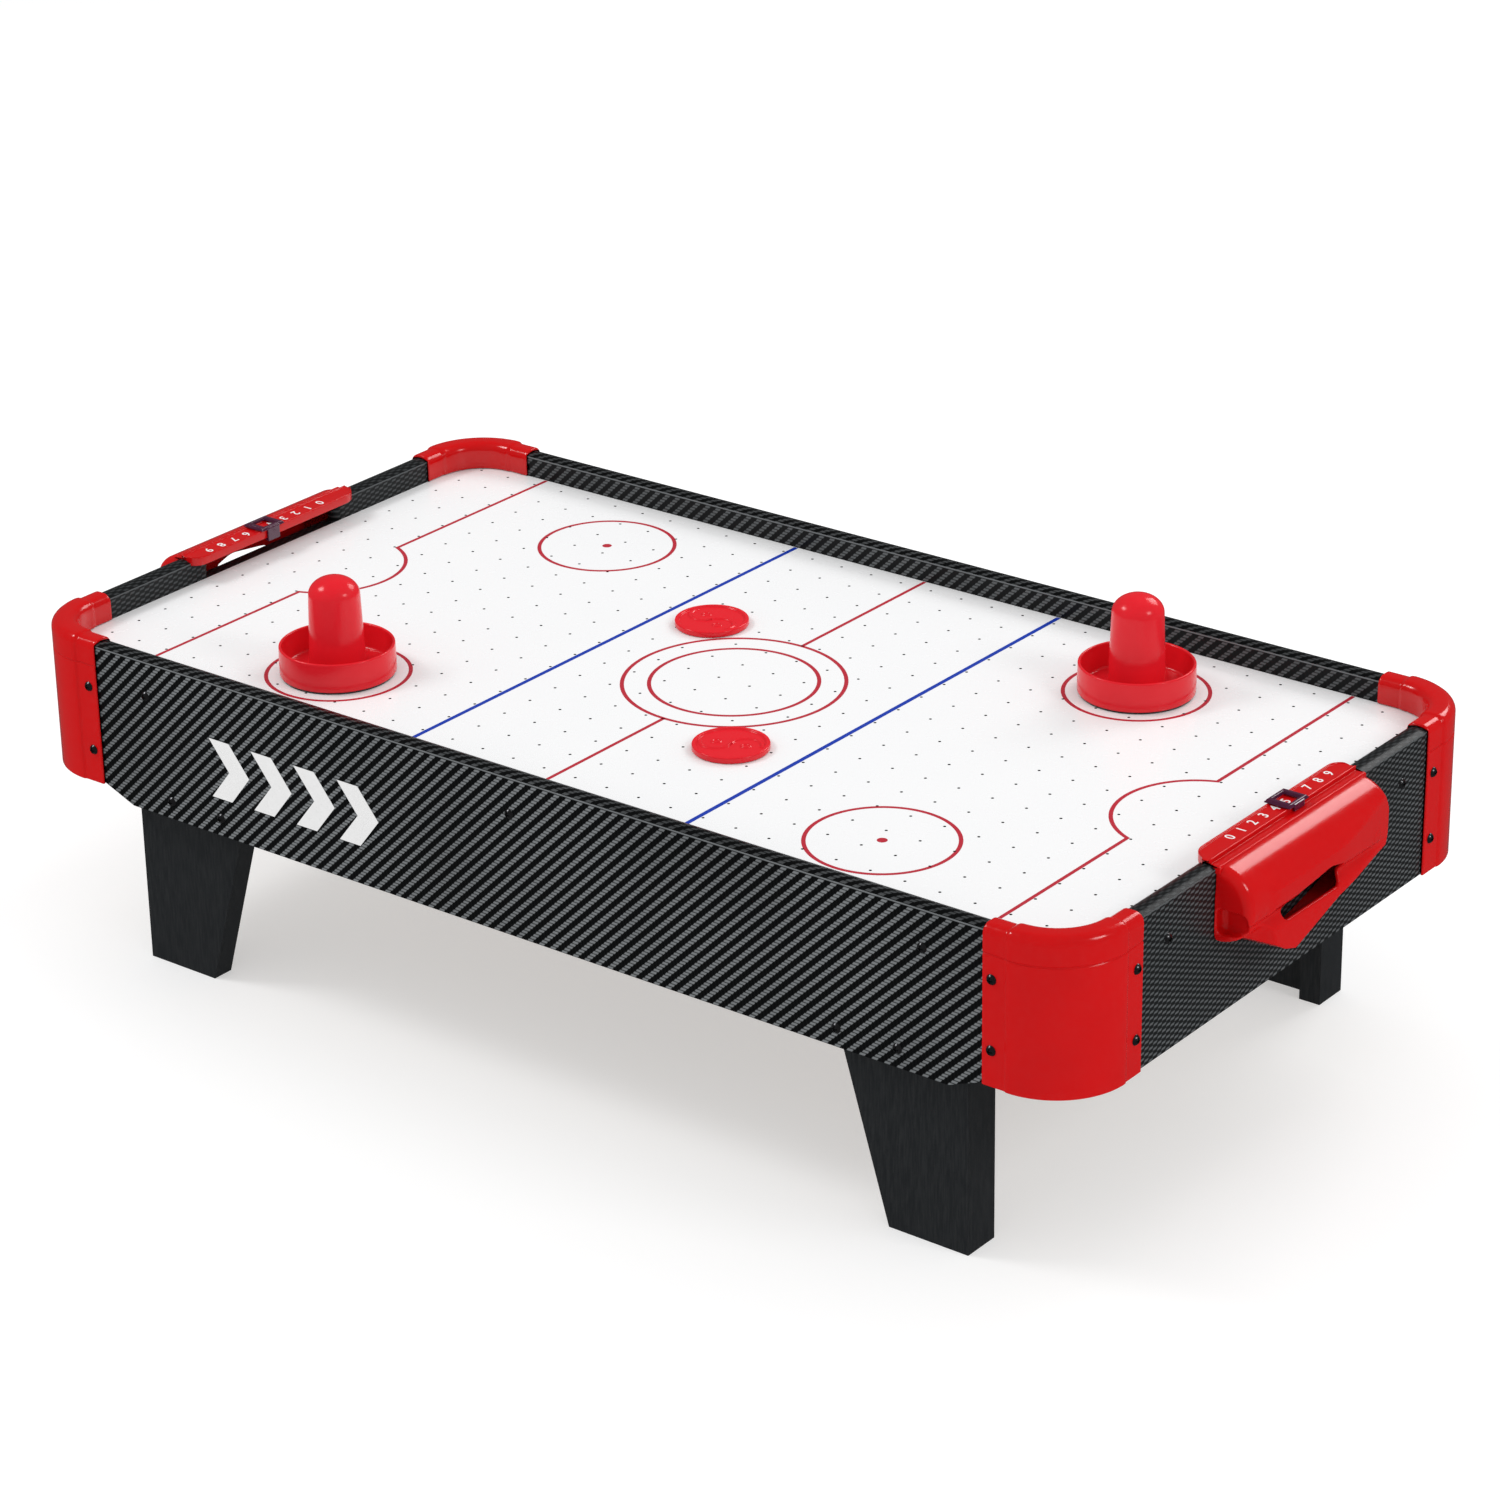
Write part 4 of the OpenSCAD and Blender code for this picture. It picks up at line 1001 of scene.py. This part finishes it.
def pusher_profile(height, cup_h, cup_r, foot_r, tip_r):
    """Half section of a pusher, from the top of its knob over the cup to the hollow under the knob."""
    wall, floor, dome = 2.3, 2.6, KNOB_DOME
    shoulder = height - dome
    profile = [(0, height)] + arc((0, shoulder), (tip_r, dome), 88, 0, 22)
    profile += arc((foot_r + 2.0, floor + 2.0), (2.0, 2.0), 180, 270, 6)
    inner = cup_r - wall
    profile += arc((inner - 3.2, floor + 2.2), (2.2, 2.2), 270, 360, 6)
    profile += arc((inner + 0.1 + 1.0, cup_h - 1.0), (1.0, 1.0), 180, 0, 12)
    profile += [(cup_r - 0.05, cup_h * 0.5)]
    profile += arc((cup_r - 0.9, 0.9), (0.9, 0.9), 0, -90, 5)
    profile += [(foot_r - wall, 0.0), (foot_r - wall - 0.3, 0.4), (tip_r - wall, shoulder - 2)]
    profile += arc((0, shoulder - 2), (tip_r - wall, dome - 1.5), 4, 86, 10) + [(0, height - 3.5)]
    return profile


def pushers():
    for name in ("left", "right"):
        lo, hi = low(f"pusher_{name}"), high(f"pusher_{name}")
        centre = 0.5 * (lo + hi)
        profile = pusher_profile(hi.z - lo.z, CUP_H, 0.5 * (hi.x - lo.x), KNOB_FOOT_R, KNOB_TIP_R)
        mesh = placed(lathe(profile, 160), Matrix.Translation((centre.x, centre.y, lo.z)))
        made = piece(f"pusher_body_{name}", mesh, MATERIALS["pusher_plastic"], f"pusher_{name}",
                     (f"pusher_{name}",))
        sharpen(made, 50)


PUCK_RIM, PUCK_DISH, PUCK_EDGE = 2.4, 1.1, 0.9
RIDGE_H, RIDGE_HALF = 1.0, 1.5
RING_H, RING_HALF, RING_R, RING_SHIFT = 0.8, 0.9, 2.6, 1.2
CURL = 0.9
FAR = 9
PUCK_SEGMENTS = 192


def puck_top(x, y, r, rim):
    """Height of the marks in a puck's recess: a curved ridge and two small rings."""
    radius = np.hypot(x, y)
    bow = (r - rim) / 2 * CURL
    # Ridge along two half circles that meet at the centre
    upper = np.abs(np.hypot(x - bow, y) - bow)
    lower = np.abs(np.hypot(x + bow, y) - bow)
    way = np.where(x > 0, np.where(y > -0.1, upper, FAR), np.where(y < 0.1, lower, FAR))
    ridge = RIDGE_H * np.clip(1 - (way / RIDGE_HALF) ** 2, 0, 1)
    marks = 0
    for side in (-1, 1):
        ring = np.abs(np.hypot(x - side * bow, y + side * RING_SHIFT) - RING_R)
        marks = marks + RING_H * np.clip(1 - (ring / RING_HALF) ** 2, 0, 1)
    inside = np.clip((r - rim - radius) / 1.0, 0, 1)
    return (ridge + marks) * inside * inside * (3 - 2 * inside)


def puck_mesh(r, thick):
    """Disc with a rounded rim and a marked recess on both faces."""
    rim, dish, edge, sector = PUCK_RIM, PUCK_DISH, PUCK_EDGE, PUCK_SEGMENTS
    radii = list(np.linspace(0.4, r - rim - 1.0, 46)) + list(np.linspace(r - rim - 0.9, r - edge, 12))
    angles = np.linspace(0, 2 * np.pi, sector, endpoint=False)

    def face(direction):
        rows = []
        for radius in radii:
            x, y = radius * np.cos(angles), radius * np.sin(angles)
            up = np.clip((radius - (r - rim - 0.9)) / 1.1, 0, 1)
            base = thick / 2 - dish * (1 - up * up * (3 - 2 * up))
            z = direction * (base + puck_top(x, y, r, rim))
            rows.append(list(zip(x, y, z)))
        return rows

    upper, lower = face(1), face(-1)
    side = []
    for t in np.linspace(math.pi / 2, 0, 6)[1:]:
        side.append((r - edge + edge * math.cos(t), thick / 2 - edge + edge * math.sin(t)))
    wall = side + [(a, -b) for a, b in side[::-1]]
    around = [[(a * math.cos(t), a * math.sin(t), z) for t in angles] for a, z in wall]
    rows = upper + around + lower[::-1]
    vertices = [p for row in rows for p in row]
    faces = []
    for i in range(len(rows) - 1):
        for k in range(sector):
            n = (k + 1) % sector
            a, b = i * sector, (i + 1) * sector
            faces.append((a + k, b + k, b + n, a + n))
    last = (len(rows) - 1) * sector
    faces.append(tuple(range(sector)))
    faces.append(tuple(last + k for k in range(sector))[::-1])
    return vertices, faces


def pucks():
    for name, turn in (("front", 20), ("back", -25)):
        lo, hi = low(f"puck_{name}"), high(f"puck_{name}")
        centre = 0.5 * (lo + hi)
        place = Matrix.Translation(centre) @ Matrix.Rotation(math.radians(turn), 4, "Z")
        mesh = placed(puck_mesh(0.5 * (hi.x - lo.x), hi.z - lo.z), place)
        piece(f"puck_disc_{name}", mesh, MATERIALS["pusher_plastic"], f"puck_{name}",
              (f"puck_{name}",))


# ---------------------------------------------------------------- studio

ROOM = 0.78
ROOM_IN_GLOSS = 0.1
FLOOR_HALF = 9.0
FLOOR_GREY = (0.62, 0.62, 0.62)
FLOOR_GLOW = 0.46
LAMP_AIM = (0, 0, 0.2)
# Name, place, width, height and power of each lamp
LAMPS = (
    ("key", (-1.5, -0.9, 2.0), 0.7, 0.6, 16),
    ("fill", (2.1, 0.1, 1.5), 0.6, 0.6, 10),
    ("back", (0.35, 2.0, 1.6), 1.0, 0.9, 15),
)
CAMERA_AZIMUTH = 38.11
CAMERA_ELEVATION = 24.07
CAMERA_ROLL = -0.98
CAMERA_TARGET = (0.0667, -0.0701, 0.200)
CAMERA_DISTANCE = 2.737
CAMERA_LENS = 108.24
SENSOR_WIDTH = 36.0


def studio():
    """Pale floor, soft lights and the camera."""
    scene = bpy.context.scene
    half = FLOOR_HALF
    data = bpy.data.meshes.new("floor")
    corners = [(-half, -half, 0), (half, -half, 0), (half, half, 0), (-half, half, 0)]
    data.from_pydata(corners, [], [(0, 1, 2, 3)])
    floor = bpy.data.objects.new("floor", data)
    pale = Shader("floor", FLOOR_GREY, 0.7, specular_ior_level=0.1, emission_strength=FLOOR_GLOW)
    pale.bsdf.inputs["Emission Color"].default_value = (1, 1, 1, 1)
    pale.colour(pale.mix(pale.noise(900, 2), (0.615, 0.615, 0.617), (0.63, 0.63, 0.63)))
    data.materials.append(pale.material)
    scene.collection.objects.link(floor)
    floor.visible_glossy = False

    world = bpy.data.worlds.new("studio")
    scene.world = world
    world.use_nodes = True
    sky = world.node_tree.nodes["Background"]
    sky.inputs["Color"].default_value = (1, 1, 1, 1)
    # Gloss sees a dimmer room, so dark surfaces stay dark between the lamps' highlights
    ray = world.node_tree.nodes.new("ShaderNodeLightPath")
    dim = world.node_tree.nodes.new("ShaderNodeMapRange")
    for socket, value in zip(dim.inputs[3:5], (ROOM, ROOM_IN_GLOSS)):
        socket.default_value = value
    world.node_tree.links.new(ray.outputs["Is Glossy Ray"], dim.inputs["Value"])
    world.node_tree.links.new(dim.outputs[0], sky.inputs["Strength"])

    for name, place, width, height, power in LAMPS:
        data = bpy.data.lights.new(name, "AREA")
        data.shape = "RECTANGLE"
        data.size, data.size_y, data.energy = width, height, power
        made = bpy.data.objects.new(name, data)
        made.location = place
        made.rotation_euler = (Vector(LAMP_AIM) - Vector(place)).to_track_quat("-Z", "Y").to_euler()
        made.visible_camera = False
        scene.collection.objects.link(made)

    azimuth, elevation = math.radians(CAMERA_AZIMUTH), math.radians(CAMERA_ELEVATION)
    back = Vector((math.sin(azimuth) * math.cos(elevation), -math.cos(azimuth) * math.cos(elevation),
                   math.sin(elevation)))
    data = bpy.data.cameras.new("camera")
    data.sensor_width, data.lens = SENSOR_WIDTH, CAMERA_LENS
    camera = bpy.data.objects.new("camera", data)
    camera.location = Vector(CAMERA_TARGET) + back * CAMERA_DISTANCE
    roll = Matrix.Rotation(math.radians(CAMERA_ROLL), 3, "Z").to_quaternion()
    camera.rotation_euler = (back.to_track_quat("Z", "Y") @ roll).to_euler()
    scene.collection.objects.link(camera)
    scene.camera = camera
    scene.view_settings.view_transform = "Standard"
    scene.view_settings.look = "None"


studio()
dress_cad_nodes()
field_lines()
chevrons()
corner_caps()
goal_boxes()
score_numbers()
score_sliders()
pushers()
pucks()
